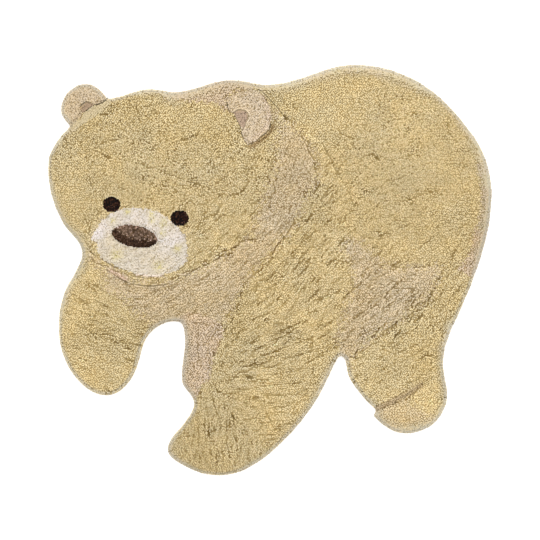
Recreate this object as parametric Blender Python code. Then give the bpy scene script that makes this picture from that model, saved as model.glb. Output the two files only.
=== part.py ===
"""Bear shaped kids rug: one tufted cotton cloth, cut to the outline of a walking bear and lying flat.

Metres, +Z up. The origin is on the floor under the middle of the rug's box, +X points to the bear's
rump and +Y to its back, so the bear walks to the left with its face turned to the viewer.
The tables below are in millimetres and degrees. A heading is the way the edge runs at a station,
counted anticlockwise from +X, as it is followed from the left ear over the back and round the legs.
"""

from collections import namedtuple
from math import ceil, cos, exp, pi, radians, sin, sqrt

import bmesh
import bpy
from mathutils import Matrix, Vector, noise
from mathutils.geometry import delaunay_2d_cdt, interpolate_bezier
from mathutils.kdtree import KDTree

MM = 0.001

# Driving dimensions
LENGTH = 1200 * MM  # side of the head to the rump
WIDTH = 1111 * MM  # back to the sole of the near forepaw
THICKNESS = 18 * MM  # canvas and cut pile together
HEM_HEIGHT = 7 * MM  # the pile bulges furthest out at this height
HEM_TUCK = 3 * MM  # the turned-under edge stands back by this at the floor
SHOULDER = 15 * MM  # width of the rounding from the bulge up to the full pile
PATCH_DEPTH = 9 * MM  # the low-cut inner ears lie this far below the pile
PATCH_WALL = 0.12  # share of a patch's radius over which the pile drops to it
LUMP_HEIGHT = 1.3 * MM  # unevenness of the pile's top
LUMP_SIZE = 55 * MM
RIM_LUMP = 1.2 * MM  # unevenness of the pile at the rim
RIM_LUMP_SIZE = 28 * MM
CARVING_STEEPNESS = 1.5  # how fast a carved line falls off from its middle

# Spacing of the points that the surface is drawn through
RIM_STEP = 12 * MM
LINE_STEP = 11 * MM
PILE_STEP = 22 * MM
RING_INSETS = (4.5 * MM, 13 * MM)  # rows of points round the rounding
RIM_CLEARANCE = 4 * MM  # no point of the surface lies closer to the rim
WALL_CLEARANCE = 5 * MM  # nor to a patch's wall
ROW_CLEARANCE = 0.62  # share of its spacing that each point keeps free round itself
DENSE_STEP = 1.5 * MM  # spacing of the points that distances are measured to

Station = namedtuple("Station", "place x y heading leaving", defaults=(None,))
Carving = namedtuple("Carving", "name depth half_width places")
Mark = namedtuple("Mark", "name x y width height turn")

LEFT_EAR = (
    Station("root at the temple", -539, 389, 46, 136),
    Station("outer side", -565, 432, 90),
    Station("crown", -495, 504, 0),
    Station("root at the brow", -438, 464, -52, 4),
)
HEAD_TOP = (
    Station("brow", -320, 490, 0),
    Station("dip before the nape", -254, 482, 2),
    Station("nape", -105, 515, 0),
    Station("dip at the withers", -8, 502, 0),
)
BACK = (
    Station("top of the back", 231, 556, 0),
    Station("loin", 420, 498, -33),
    Station("upper rump", 546, 370, -53),
    Station("end of the rump", 600, 204, -90),
)
HIND_LEG = (
    Station("thigh", 521, -96, -113),
    Station("hock", 469, -252, -90),
    Station("heel", 480, -336, -90),
    Station("sole", 369, -442, 180),
    Station("toe", 280, -394, 132, 74),
    Station("notch over the toe", 286, -377, 100, 137),
    Station("shin", 211, -283, 114),
)
NEAR_FORELEG = (
    Station("groin", 191, -232, 180),
    Station("under the elbow", 180, -244, -116),
    Station("elbow", 136, -335, -120),
    Station("wrist", 29, -470, -136),
    Station("sole", -137, -555, 180),
    Station("underside of the toe", -233, -528, 150),
    Station("toe", -277, -484, 90),
    Station("upper side of the paw", -230, -411, 57),
    Station("notch at the third paw", -205, -358, 95),
)
THIRD_LEG = (
    Station("edge of the paw", -239, -296, 90),
    Station("inner side", -230, -190, 90),
    Station("corner under the chest", -240, -143, 125, 160),
)
FAR_FORELEG = (
    Station("arch under the chest", -258, -139, 180),
    Station("side of the arch", -333, -184, -123),
    Station("wrist", -355, -252, -108),
    Station("sole", -443, -339, 180),
    Station("outer side of the paw", -525, -290, 130),
    Station("outer side", -571, -158, 90),
    Station("elbow", -553, -54, 67),
    Station("notch at the chin", -508, 48, 90),
)
SIDE_OF_HEAD = (
    Station("cheek", -558, 125, 121),
    Station("widest point", -600, 283, 90),
    Station("temple", -566, 361, 52),
)
OUTLINE = LEFT_EAR + HEAD_TOP + BACK + HIND_LEG + NEAR_FORELEG + THIRD_LEG + FAR_FORELEG + SIDE_OF_HEAD

# Lines carved in the pile: depth, half the width at the top, and the places each one passes
EAR_CARVINGS = (
    Carving("front of the left ear", 7, 7, (
        (-438, 464), (-468, 446), (-503, 427), (-539, 389),
    )),
    Carving("front of the right ear", 7, 7, (
        (-114, 462), (-110, 432), (-91, 403), (-77, 368), (-60, 341),
    )),
    Carving("back of the right ear", 7, 7, (
        (-60, 341), (-35, 344), (-6, 366), (4, 400), (-3, 443), (-24, 473),
    )),
    Carving("top of the right ear", 4, 7, (
        (-24, 473), (-50, 483), (-86, 478), (-114, 462),
    )),
    Carving("fold behind the right ear", 4, 7, (
        (-16, 490), (10, 452), (44, 410), (88, 352), (120, 328),
    )),
)
FACE_CARVINGS = (
    Carving("upper crease of the chin", 4, 6, (
        (-488, 52), (-455, 30), (-388, -3), (-322, -19), (-262, -4), (-200, 38),
    )),
    Carving("lower crease of the chin", 6, 8, (
        (-450, 7), (-415, -21), (-345, -45), (-276, -39), (-189, 4), (-92, 62), (-50, 81),
    )),
    Carving("throat", 3, 9, (
        (-50, 81), (-28, 130), (-20, 186), (8, 236), (57, 351),
    )),
)
LEG_CARVINGS = (
    Carving("front of the near foreleg", 5, 8, (
        (60, 128), (16, 62), (-72, -21), (-104, -140), (-143, -215), (-164, -290), (-202, -345),
    )),
    Carving("crease over the near wrist", 4, 6, (
        (-130, -298), (-76, -262), (7, -218), (90, -168),
    )),
    Carving("back of the near foreleg", 3, 8, (
        (120, 328), (170, 274), (214, 216), (236, 140), (236, 66), (236, -14), (217, -82), (196, -160),
        (191, -222),
    )),
    Carving("front of the hind leg", 6, 8, (
        (507, 58), (466, 8), (452, -34), (418, -82), (356, -132), (288, -173), (240, -215),
        (212, -243),
    )),
    Carving("crease over the hind foot", 6, 9, (
        (290, -379), (330, -363), (372, -335), (410, -309),
    )),
)
BELLY_CARVINGS = (
    Carving("upper edge of the belly", 4, 8, (
        (250, 68), (287, 34), (356, 9), (438, 12), (466, 8),
    )),
    Carving("crease of the belly", 3, 6, (
        (222, -140), (251, -118), (300, -71), (356, -29),
    )),
)
CARVINGS = EAR_CARVINGS + FACE_CARVINGS + LEG_CARVINGS + BELLY_CARVINGS

# The yarns of the eyes and the nose part from the golden pile in a shallow line round each
FACE_MARKS = (
    Mark("eye on the left", -428, 177, 43, 41, 0),
    Mark("eye on the right", -243, 140, 47, 42, 0),
    Mark("nose", -365, 91, 124, 57, -11),
)
MARK_DEPTH = 2.5
MARK_HALF_WIDTH = 4

# Low-cut inner ears: corners of the two patches
EAR_PATCHES = (
    ((-511, 436), (-495, 452), (-476, 449), (-489, 432)),
    ((-94, 424), (-63, 427), (-60, 409), (-75, 384)),
)


def in_direction(heading, size):
    """The plane vector of a size that points along a heading."""
    return Vector((cos(radians(heading)), sin(radians(heading)))) * size


def bezier(start, handle_out, handle_in, end, steps):
    """Points of one plane Bezier segment, without its last."""
    knots = [p.to_3d() for p in (start, handle_out, handle_in, end)]
    return [p.to_2d() for p in interpolate_bezier(*knots, steps + 1)[:-1]]


def edge_between(a, b):
    """The edge from station a up to station b, on a curve that keeps both headings."""
    start, end = Vector((a.x, a.y)) * MM, Vector((b.x, b.y)) * MM
    leaving = a.heading if a.leaving is None else a.leaving
    turn = (b.heading - leaving + 180) % 360 - 180
    chord = (end - start).length
    handle = chord / (3 * cos(radians(turn / 4)) ** 2)  # as on a circle's arc of that turn
    handle_out, handle_in = in_direction(leaving, handle), in_direction(b.heading, handle)
    return bezier(start, start + handle_out, end - handle_in, end, max(1, ceil(chord / RIM_STEP)))


def smooth_line(places):
    """Points every LINE_STEP or so along a smooth curve through the places."""
    knots = [Vector(place) * MM for place in places]
    path = [knots[0] * 2 - knots[1], *knots, knots[-1] * 2 - knots[-2]]
    points = []
    for before, a, b, after in zip(path, path[1:], path[2:], path[3:], strict=False):
        steps = max(1, round((b - a).length / LINE_STEP))
        points += bezier(a, a + (b - before) / 6, b - (after - a) / 6, b, steps)
    return [*points, knots[-1]]


def mark_line(mark):
    """The closed ellipse round a mark of the face."""
    turned = Matrix.Rotation(radians(mark.turn), 2)
    count = ceil(pi * (mark.width + mark.height) / 2 * MM / LINE_STEP)
    points = []
    for i in range(count + 1):
        angle = 2 * pi * i / count
        spot = turned @ Vector((cos(angle) * mark.width / 2, sin(angle) * mark.height / 2))
        points.append((Vector((mark.x, mark.y)) + spot) * MM)
    return points


def direction_at(points, i, closed):
    """The way the path runs at one of its points."""
    last = len(points) - 1
    before = points[i - 1] if closed or i else points[0]
    after = points[(i + 1) % len(points)] if closed or i < last else points[last]
    return (after - before).normalized()


def left_of(direction):
    return Vector((-direction.y, direction.x))


def fitted(points):
    """The points moved and scaled so that their box is LENGTH by WIDTH round the origin."""
    low = Vector((min(p.x for p in points), min(p.y for p in points)))
    high = Vector((max(p.x for p in points), max(p.y for p in points)))
    middle, size = (low + high) / 2, high - low
    return [Vector(((p.x - middle.x) * LENGTH / size.x, (p.y - middle.y) * WIDTH / size.y)) for p in points]


def rug_outline():
    """The cut edge, followed clockwise, a little uneven as a pile's edge is."""
    points = []
    for a, b in zip(OUTLINE, OUTLINE[1:] + OUTLINE[:1], strict=True):
        points += edge_between(a, b)
    uneven = []
    for i, p in enumerate(points):
        outward = left_of(direction_at(points, i, closed=True))
        uneven.append(p + outward * RIM_LUMP * noise.noise(p.to_3d() / RIM_LUMP_SIZE))
    return fitted(uneven)


def closed_pairs(points):
    return zip(points, points[1:] + points[:1], strict=True)


def open_pairs(points):
    return zip(points, points[1:], strict=False)


def nearest_tree(pairs):
    """A search tree of points spread densely along the stretches."""
    spots = []
    for a, b in pairs:
        count = max(1, ceil((b - a).length / DENSE_STEP))
        spots += [a.lerp(b, k / count) for k in range(count + 1)]
    tree = KDTree(len(spots))
    for i, spot in enumerate(spots):
        tree.insert(spot.to_3d(), i)
    tree.balance()
    return tree


def distance(tree, p):
    return tree.find(p.to_3d())[2]


def inside(p, loop):
    """Whether a point lies inside a closed loop, by counting the sides to its right."""
    odd = False
    for a, b in closed_pairs(loop):
        if (a.y > p.y) != (b.y > p.y) and p.x < a.x + (p.y - a.y) * (b.x - a.x) / (b.y - a.y):
            odd = not odd
    return odd


def shrunk(loop, share):
    """The loop drawn in towards its middle by a share of its radius."""
    middle = sum(loop, Vector((0, 0))) / len(loop)
    return [p.lerp(middle, share) for p in loop]


class Cloth:
    """The rug's flat pattern: its outline, its carved lines and its two low patches."""

    def __init__(self):
        self.outline = rug_outline()
        self.rim = nearest_tree(closed_pairs(self.outline))
        self.lines = []  # points, depth, half width and search tree of each carved line
        for carving in CARVINGS:
            self.add_line(smooth_line(carving.places), carving.depth * MM, carving.half_width * MM)
        for mark in FACE_MARKS:
            self.add_line(mark_line(mark), MARK_DEPTH * MM, MARK_HALF_WIDTH * MM)
        self.patches = [[Vector(corner) * MM for corner in corners] for corners in EAR_PATCHES]
        self.patch_floors = [shrunk(loop, PATCH_WALL) for loop in self.patches]
        sides = [pair for loop in self.patches + self.patch_floors for pair in closed_pairs(loop)]
        self.walls = nearest_tree(sides)

    def add_line(self, points, depth, half_width):
        kept = [p for p in points if self.holds(p)]
        self.lines.append((kept, depth, half_width, nearest_tree(open_pairs(points))))

    def holds(self, p):
        """Whether a point lies on the cloth and clear of its rim."""
        return inside(p, self.outline) and distance(self.rim, p) > RIM_CLEARANCE

    def height(self, p):
        """Height of the pile's top above the floor."""
        inward = min(distance(self.rim, p) / SHOULDER, 1)
        full = HEM_HEIGHT + (THICKNESS - HEM_HEIGHT - LUMP_HEIGHT) * sqrt(1 - (1 - inward) ** 2)
        cut = 0
        for _, depth, half_width, tree in self.lines:
            reach = distance(tree, p) / half_width
            cut = max(cut, depth * exp(-CARVING_STEEPNESS * reach**2))
        if any(inside(p, shrunk(floor, -PATCH_WALL / 4)) for floor in self.patch_floors):
            cut = PATCH_DEPTH
        lump = noise.noise(p.to_3d() / LUMP_SIZE) * LUMP_HEIGHT * inward
        return full + lump - cut * inward

    def field(self):
        """Points over the whole cloth: rows by the rim and the carved lines, an even field between."""
        candidates = []
        for points, _, half_width, _ in self.lines:
            candidates += [(p, 0) for p in points]
        for points, _, half_width, _ in self.lines:
            for i, p in enumerate(points):
                across = left_of(direction_at(points, i, closed=False)) * half_width
                candidates += [(p + across, half_width), (p - across, half_width)]
        for inset in RING_INSETS:
            for i, p in enumerate(self.outline):
                outward = left_of(direction_at(self.outline, i, closed=True))
                candidates.append((p - outward * inset, inset))
        rows = ceil(LENGTH / PILE_STEP)
        for row in range(-rows, rows):
            for column in range(-rows, rows):
                spot = Vector((column + row % 2 / 2, row * sqrt(3) / 2)) * PILE_STEP
                candidates.append((spot, PILE_STEP))
        return self.thinned(candidates)

    def thinned(self, candidates):
        """Each candidate in turn, unless it lies off the cloth or too close to one kept before."""
        grid, kept = {}, []
        for p, spacing in candidates:
            clear = spacing * ROW_CLEARANCE
            column, row = int(p.x // PILE_STEP), int(p.y // PILE_STEP)
            around = [(column + i, row + j) for i in (-1, 0, 1) for j in (-1, 0, 1)]
            if any((p - q).length < clear for cell in around for q in grid.get(cell, ())):
                continue
            if spacing and not (self.holds(p) and distance(self.walls, p) > WALL_CLEARANCE):
                continue
            grid.setdefault((column, row), []).append(p)
            kept.append(p)
        return kept

    def surface(self):
        """The plane triangulation: its points and its triangles."""
        points, edges = [], []

        def add_path(path, closed):
            first = len(points)
            points.extend(path)
            edges.extend((first + i, first + i + 1) for i in range(len(path) - 1))
            if closed:
                edges.append((first + len(path) - 1, first))

        add_path(self.outline, closed=True)
        for loop in self.patches + self.patch_floors:
            add_path(loop, closed=True)
        for line, *_ in self.lines:
            add_path(line, closed=False)
        points += self.field()
        rim_face = range(len(self.outline))
        plane, _, triangles, *_ = delaunay_2d_cdt(points, edges, [rim_face], 1, 1e-5)
        return plane, triangles


def tufted_cloth():
    """The rug's mesh: the top of its pile, the rim turned under and a flat underside."""
    cloth = Cloth()
    plane, triangles = cloth.surface()
    bm = bmesh.new()
    verts = [bm.verts.new((p.x, p.y, cloth.height(p))) for p in plane]
    for corners in triangles:
        bm.faces.new([verts[i] for i in corners])
    bmesh.ops.delete(bm, geom=[v for v in bm.verts if not v.link_faces], context="VERTS")
    turn_hem_under(bm, cloth)
    bmesh.ops.triangulate(bm, faces=[f for f in bm.faces if len(f.verts) > 4])
    bmesh.ops.recalc_face_normals(bm, faces=bm.faces)
    return bm


def turn_hem_under(bm, cloth):
    """Runs the rim down to the floor, a little tucked in, and closes the underside."""
    corners = KDTree(len(cloth.outline))
    for i, p in enumerate(cloth.outline):
        corners.insert(p.to_3d(), i)
    corners.balance()
    rim = [e for e in bm.edges if e.is_boundary]
    made = bmesh.ops.extrude_edge_only(bm, edges=rim)["geom"]
    for v in (item for item in made if isinstance(item, bmesh.types.BMVert)):
        nearest = corners.find((v.co.x, v.co.y, 0))[1]
        outward = left_of(direction_at(cloth.outline, nearest, closed=True))
        v.co.xy -= outward * HEM_TUCK
        v.co.z = 0
    bmesh.ops.contextual_create(bm, geom=[e for e in bm.edges if e.is_boundary])


def cotton_pile():
    """Matt golden beige cut cotton."""
    material = bpy.data.materials.new("cotton pile")
    material.use_nodes = True
    shader = material.node_tree.nodes["Principled BSDF"]
    shader.inputs["Base Color"].default_value = (0.67, 0.51, 0.26, 1)
    shader.inputs["Roughness"].default_value = 0.95
    shader.inputs["Metallic"].default_value = 0
    return material


def build_rug():
    bm = tufted_cloth()
    mesh = bpy.data.meshes.new("rug")
    bm.to_mesh(mesh)
    bm.free()
    mesh.shade_smooth()
    mesh.set_sharp_from_angle(angle=radians(50))
    mesh.materials.append(cotton_pile())
    rug = bpy.data.objects.new("rug", mesh)
    bpy.context.collection.objects.link(rug)


for leftover in list(bpy.data.objects):
    bpy.data.objects.remove(leftover)
build_rug()
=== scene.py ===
from math import cos, pi, radians, sin

import bmesh
import bpy
import numpy as np
from mathutils import Matrix, Vector
from mathutils.bvhtree import BVHTree
from mathutils.kdtree import KDTree


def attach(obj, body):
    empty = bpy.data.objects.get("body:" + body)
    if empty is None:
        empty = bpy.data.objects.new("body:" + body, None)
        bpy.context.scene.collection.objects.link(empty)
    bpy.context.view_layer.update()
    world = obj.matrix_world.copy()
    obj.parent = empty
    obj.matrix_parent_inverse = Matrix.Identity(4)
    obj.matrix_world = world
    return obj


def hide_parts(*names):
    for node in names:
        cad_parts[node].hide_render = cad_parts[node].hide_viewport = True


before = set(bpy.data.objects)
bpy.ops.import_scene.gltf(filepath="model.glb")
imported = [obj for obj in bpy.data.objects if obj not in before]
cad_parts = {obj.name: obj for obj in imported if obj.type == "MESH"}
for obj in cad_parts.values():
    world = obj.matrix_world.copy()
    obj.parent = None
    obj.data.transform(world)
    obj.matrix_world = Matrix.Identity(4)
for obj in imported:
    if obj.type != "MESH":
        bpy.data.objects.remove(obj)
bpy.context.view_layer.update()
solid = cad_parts["rug"]
mm = 0.001
print("frame loaded")


# camera, straight above the rug
view = {"lens": 85, "widthSeen": 1.461}  # the width of floor that fills the picture, in metres

cameraData = bpy.data.cameras.new("camera above the rug")
cameraData.lens = view["lens"]
cameraData.clip_end = 60
camera = bpy.data.objects.new("camera above the rug", cameraData)
camera.location.z = view["widthSeen"] * view["lens"] / cameraData.sensor_width
bpy.context.scene.collection.objects.link(camera)
bpy.context.scene.camera = camera
bpy.context.scene.view_settings.view_transform = "Standard"


# small tools for the materials
class Value:
    # a node's socket that can be used in sums
    def __init__(self, tree, socket):
        self.tree, self.socket = tree, socket

    def joined(self, operation, *others, clamp=False):
        node = self.tree.nodes.new("ShaderNodeMath")
        node.operation = operation
        node.use_clamp = clamp
        for place, item in zip(node.inputs, others):
            if isinstance(item, Value):
                self.tree.links.new(item.socket, place)
            else:
                place.default_value = item
        return Value(self.tree, node.outputs[0])

    def __add__(self, other):
        return self.joined("ADD", self, other)

    def __radd__(self, other):
        return self.joined("ADD", other, self)

    def __sub__(self, other):
        return self.joined("SUBTRACT", self, other)

    def __rsub__(self, other):
        return self.joined("SUBTRACT", other, self)

    def __mul__(self, other):
        return self.joined("MULTIPLY", self, other)

    def __rmul__(self, other):
        return self.joined("MULTIPLY", other, self)

    def sine(self):
        return self.joined("SINE", self)

    def size(self):
        return self.joined("ABSOLUTE", self)

    def floor(self):
        return self.joined("FLOOR", self)

    def modulo(self, other):
        return self.joined("FLOORED_MODULO", self, other)

    def within(self):
        return self.joined("ADD", self, 0.0, clamp=True)


class Finish:
    # a material with its shader and a method that adds any other node
    def __init__(self, name, **shaderValues):
        self.material = bpy.data.materials.new(name)
        self.material.use_nodes = True
        self.tree = self.material.node_tree
        self.shader = self.tree.nodes["Principled BSDF"]
        for socket, value in shaderValues.items():
            self.shader.inputs[socket.replace("_", " ")].default_value = value

    def node(self, kind, settings=None, output=0, **sockets):
        made = self.tree.nodes.new(kind)
        for name, value in (settings or {}).items():
            if name == "stops":
                ramp = made.color_ramp.elements
                while len(ramp) < len(value):
                    ramp.new(0.5)
                for stop, (position, colour) in zip(ramp, value):
                    stop.position, stop.color = position, colour
            else:
                setattr(made, name, value)
        for name, value in sockets.items():
            place = made.inputs[int(name[1:])] if name[1:].isdigit() else made.inputs[name.replace("_", " ")]
            if isinstance(value, Value):
                self.tree.links.new(value.socket, place)
            else:
                place.default_value = value
        return Value(self.tree, made.outputs[output])

    def blended(self, factor, first, second, how="MIX"):
        # colours mixed by a factor: sockets 6 and 7 are the colour pair of a Mix node
        return self.node("ShaderNodeMix", {"data_type": "RGBA", "blend_type": how}, output=2,
                         _0=factor, _6=first, _7=second)

    def feeds(self, value, socket):
        self.tree.links.new(value.socket, self.shader.inputs[socket])


def linear(red, green, blue):
    # a colour as read off a screen, 0 to 255, as light
    return [((c / 255 + 0.055) / 1.055) ** 2.4 if c > 10 else c / 255 / 12.92 for c in (red, green, blue)]


# what the tufts are planted on, read from the solid
def readSolid():
    merged = bmesh.new()
    merged.from_mesh(solid.data)
    bmesh.ops.remove_doubles(merged, verts=merged.verts, dist=1e-6)
    merged.normal_update()
    floorEdges = [e for e in merged.edges
                  if max(v.co.z for v in e.verts) < 1e-4
                  and any(f.normal.z < -0.9 for f in e.link_faces)
                  and any(f.normal.z > -0.9 for f in e.link_faces)]
    return merged, floorEdges


tuck = 0.003  # the solid's foot stands back from its outline by this
edgeStep = 0.002  # between the places that stand for the foot


class Ground:
    # the top of the solid: its height anywhere, and how far a place is from the cut edge
    def __init__(self):
        merged, floorEdges = readSolid()
        corners = [v.co.copy() for v in merged.verts]
        faces = [[v.index for v in f.verts] for f in merged.faces]
        self.tree = BVHTree.FromPolygons(corners, faces)
        spots = []
        for edge in floorEdges:
            a, b = (v.co.copy() for v in edge.verts)
            count = max(1, int((b - a).length / edgeStep))
            spots += [a.lerp(b, i / count) for i in range(count)]
        self.edge = KDTree(len(spots))
        for i, spot in enumerate(spots):
            self.edge.insert((spot.x, spot.y, 0), i)
        self.edge.balance()
        merged.free()

    def height(self, x, y):
        hit = self.tree.ray_cast((x, y, 0.2), (0, 0, -1))[0]
        return None if hit is None else hit.z

    def toEdge(self, x, y):
        # the way out to the nearest edge and how far that is
        spot, _, reach = self.edge.find((x, y, 0))
        out = Vector((spot.x - x, spot.y - y)).normalized() if reach > 1e-6 else Vector((0, 1))
        under = self.tree.ray_cast((x, y, -0.2), (0, 0, 1))[0]
        if under is not None and under.z < 1e-4:
            return out, tuck + reach
        return -out, tuck - reach


ground = Ground()
print("solid read")


# the fields of yarn, in millimetres, as seen from above
curveSteps = 6  # from each place of a line to the next


def onCurve(before, here, after, later, t):
    # the place on a smooth curve through four places, a share t of the way from the second to the third
    return 0.5 * (2 * here + (after - before) * t + (2 * before - 5 * here + 4 * after - later) * t ** 2
                  + (3 * here - before - 3 * after + later) * t ** 3)


def smoothLoop(places):
    # a closed smooth line through a few places
    knots = np.array(places, float)
    fours = np.roll(knots, 1, 0), knots, np.roll(knots, -1, 0), np.roll(knots, -2, 0)
    return np.stack([onCurve(*fours, k / curveSteps) for k in range(curveSteps)], 1).reshape(-1, 2)


def smoothLine(places):
    # an open smooth line through a few places
    knots = np.array(places, float)
    padded = np.vstack([2 * knots[0] - knots[1], knots, 2 * knots[-1] - knots[-2]])
    fours = zip(padded, padded[1:], padded[2:], padded[3:])
    line = [onCurve(*four, k / curveSteps) for four in fours for k in range(curveSteps)]
    return np.array(line + [knots[-1]])


def nearestOnLine(points, line):
    # the nearest place on a line to each point, and how far it is
    best, found = np.full(len(points), np.inf), np.zeros_like(points)
    for a, b in zip(line, line[1:]):
        along = b - a
        t = np.clip(((points - a) @ along) / max(along @ along, 1e-9), 0, 1)
        gap = np.linalg.norm(points - a - t[:, None] * along, axis=1)
        found = np.where((gap < best)[:, None], a + t[:, None] * along, found)
        best = np.minimum(best, gap)
    return found, best


def depthInside(points, loop, margin=40):
    # how far inside a closed line each point is: negative outside it, and never below minus the margin
    depth = np.full(len(points), -float(margin))
    near = np.all((points > loop.min(0) - margin) & (points < loop.max(0) + margin), axis=1)
    beside = points[near]
    closed = np.vstack([loop, loop[:1]])
    inside = np.zeros(len(beside), bool)
    for (ax, ay), (bx, by) in zip(closed, closed[1:]):
        if ay != by:
            crosses = (ay > beside[:, 1]) != (by > beside[:, 1])
            inside ^= crosses & (beside[:, 0] < ax + (beside[:, 1] - ay) * (bx - ax) / (by - ay))
    depth[near] = np.where(inside, 1, -1) * nearestOnLine(beside, closed)[1]
    return depth


def ellipse(x, y, width, height, turn):
    angle = np.linspace(0, 2 * np.pi, 28, endpoint=False)
    flat = np.stack([np.cos(angle) * width / 2, np.sin(angle) * height / 2], 1)
    c, s = cos(radians(turn)), sin(radians(turn))
    return flat @ np.array([[c, s], [-s, c]]) + (x, y)


yarns = {  # colour of the yarn's ends, and how much single ends differ
    "golden": (linear(215, 197, 152), 0.03),
    "paleGolden": (linear(216, 198, 160), 0.05),
    "rose": (linear(207, 189, 155), 0.05),
    "dustyRose": (linear(211, 191, 163), 0.05),
    "ear": (linear(216, 198, 170), 0.05),
    "cream": (linear(215, 205, 188), 0.05),
    "white": (linear(217, 209, 201), 0.05),
    "darkBrown": (linear(56, 36, 26), 1.8),
    "noseBrown": (linear(76, 56, 43), 1.1),
    "greyBrown": (linear(137, 113, 95), 1.1),
    "mauve": (linear(183, 160, 139), 0.03),
}

topOfMuzzle = [
    (-484, 85), (-478, 92), (-456, 128), (-431, 150), (-401, 163), (-365, 168), (-329, 164), (-296, 153),
    (-270, 134), (-243, 109), (-227, 84),
]

fields = {  # yarn, how far its edge is speckled into its neighbour, places along its edge
    "neckAndChest": ("rose", 17, [
        (8, 420), (26, 396), (16, 332), (18, 283), (0, 232), (-22, 180), (-40, 130), (-60, 84),
        (-130, 40), (-210, -8), (-300, -34), (-380, -22), (-440, 6), (-488, 45), (-470, 15), (-446, -10),
        (-440, -50), (-392, -76), (-367, -114), (-324, -144), (-250, -200), (-160, -178), (-124, -141),
        (-97, -101), (-80, -60), (-61, -21), (-29, 10), (-6, 40), (20, 64), (41, 97), (66, 121), (97, 189),
        (122, 234), (127, 288), (112, 333), (62, 388), (20, 425),
    ]),
    "thirdLeg": ("dustyRose", 4, [
        (-235, -120), (-270, -200), (-275, -300), (-240, -380), (-203, -352), (-184, -315), (-164, -290),
        (-156, -247), (-143, -217), (-125, -165), (-160, -130),
    ]),
    "belly": ("rose", 16, [
        (200, 60), (240, 78), (287, 34), (323, 15), (356, 9), (397, 9), (438, 12), (462, 8),
        (452, -34), (418, -82), (356, -132), (288, -173), (240, -215), (205, -260), (180, -200), (196, -140),
        (214, -80), (225, -10),
    ]),
    "rightEdge": ("dustyRose", 6, [
        (561, 285), (571, 230), (569, 170), (555, 110), (542, 60), (524, 20), (512, 0), (560, -14),
        (640, 60), (640, 285),
    ]),
    "nape": ("dustyRose", 8, [
        (-291, 470), (-270, 462), (-250, 457), (-216, 455), (-161, 452), (-135, 440), (-118, 425),
        (-113, 440), (-119, 455), (-100, 478), (-61, 487), (-39, 488), (-26, 490), (-22, 505), (-10, 540),
        (-180, 540), (-291, 500),
    ]),
    "hindFoot": ("paleGolden", 10, [
        (285, -378), (302, -363), (343, -344), (368, -346), (392, -366), (418, -386), (446, -400),
        (400, -445), (320, -450), (272, -412),
    ]),
    "leftEar": ("ear", 2, [
        (-438, 464), (-453, 454), (-471, 445), (-495, 434), (-508, 420), (-515, 408), (-541, 388),
        (-600, 380), (-600, 530), (-440, 530), (-425, 490),
    ]),
    "rightEar": ("ear", 1, [
        (-115, 461), (-116, 451), (-114, 438), (-108, 427), (-97, 422), (-89, 406), (-78, 380), (-75, 363),
        (-68, 347), (-58, 338), (-39, 348), (-22, 362), (-6, 377), (1, 396), (3, 418), (-2, 441), (-13, 461),
        (-23, 475), (-39, 484), (-61, 483), (-83, 481), (-100, 474),
    ]),
    "muzzle": ("cream", 3.5, topOfMuzzle + [
        (-223, 67), (-224, 34), (-235, 12), (-255, -2), (-290, -14), (-332, -15), (-362, -11), (-387, -2),
        (-412, 7), (-442, 23), (-459, 38), (-466, 59), (-468, 73),
    ]),
    "muzzleTop": ("white", 1.5, topOfMuzzle + [(-262, 64), (-300, 76), (-360, 106), (-420, 100), (-455, 82)]),
}

marks = {  # yarn and ellipse: x, y, width, height, turn
    "leftEye": ("darkBrown", (-427, 177, 47, 42, 0)),
    "rightEye": ("darkBrown", (-243, 140, 50, 43, 0)),
    "nose": ("noseBrown", (-365, 91, 126, 59, -11)),
}
# above this line the nose is greyer
noseRidge = [(-440, 116), (-421, 110), (-381, 86), (-345, 80), (-308, 78), (-290, 78)]

innerEars = {
    "left": [(-510, 440), (-503, 447), (-495, 451), (-484, 449), (-477, 446), (-485, 441), (-492, 436),
             (-500, 430), (-505, 427), (-509, 432)],
    "right": [(-97, 424), (-86, 430), (-67, 427), (-60, 417), (-65, 402), (-71, 385), (-80, 391), (-90, 410)],
}

bands = (  # lines beside which the yarn has another colour, and one painted shade under the right ear: the colour, half width, strength, places
    ("under the left ear", linear(212, 196, 160), 9, 0.8, [
        (-438, 454), (-456, 438), (-478, 427), (-497, 413), (-517, 396), (-533, 384)]),
    ("white strip under the muzzle", linear(250, 236, 228), 3, 0.9, [
        (-360, -13), (-326, -16), (-290, -15)]),
    ("pink strip between the creases", linear(236, 208, 190), 6, 0.8, [
        (-430, -3), (-409, -13), (-390, -24)]),
    ("edge of the right ear", linear(230, 208, 190), 6, 0.35, [
        (-20, 470), (-8, 445), (-4, 418), (-6, 398), (-14, 382), (-30, 366), (-46, 354)]),
    ("shade under the right ear", linear(152, 118, 66), 5.0, 0.8, [
        (-54, 333), (-35, 342), (-17, 356), (0, 371), (9, 390)]),
    ("left end of the muzzle", linear(240, 234, 236), 12, 0.35, [(-470, 92), (-448, 118)]),
    ("right end of the muzzle", linear(236, 230, 232), 13, 0.3, [(-242, 84), (-262, 66), (-290, 50)]),
    ("crease of the hind foot", linear(198, 175, 140), 8, 0.8, [
        (290, -373), (334, -352), (376, -331), (407, -310)]),
)

smoothStrip = [  # below the left ear the pile is planted and sheared as evenly as the rim
    (-436, 466), (-456, 446), (-477, 443), (-498, 426), (-512, 406), (-545, 392), (-530, 374), (-508, 390),
    (-488, 403), (-468, 416), (-448, 433), (-428, 452),
]

flecks = (  # soft yellow-green places on the muzzle: x, y and radius
    (-423, 132, 9), (-384, 158, 9), (-321, 152, 10), (-288, 126, 12), (-290, 98, 9), (-318, 134, 8),
    (-412, 40, 14), (-250, 60, 12), (-300, 10, 12),
)


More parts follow.
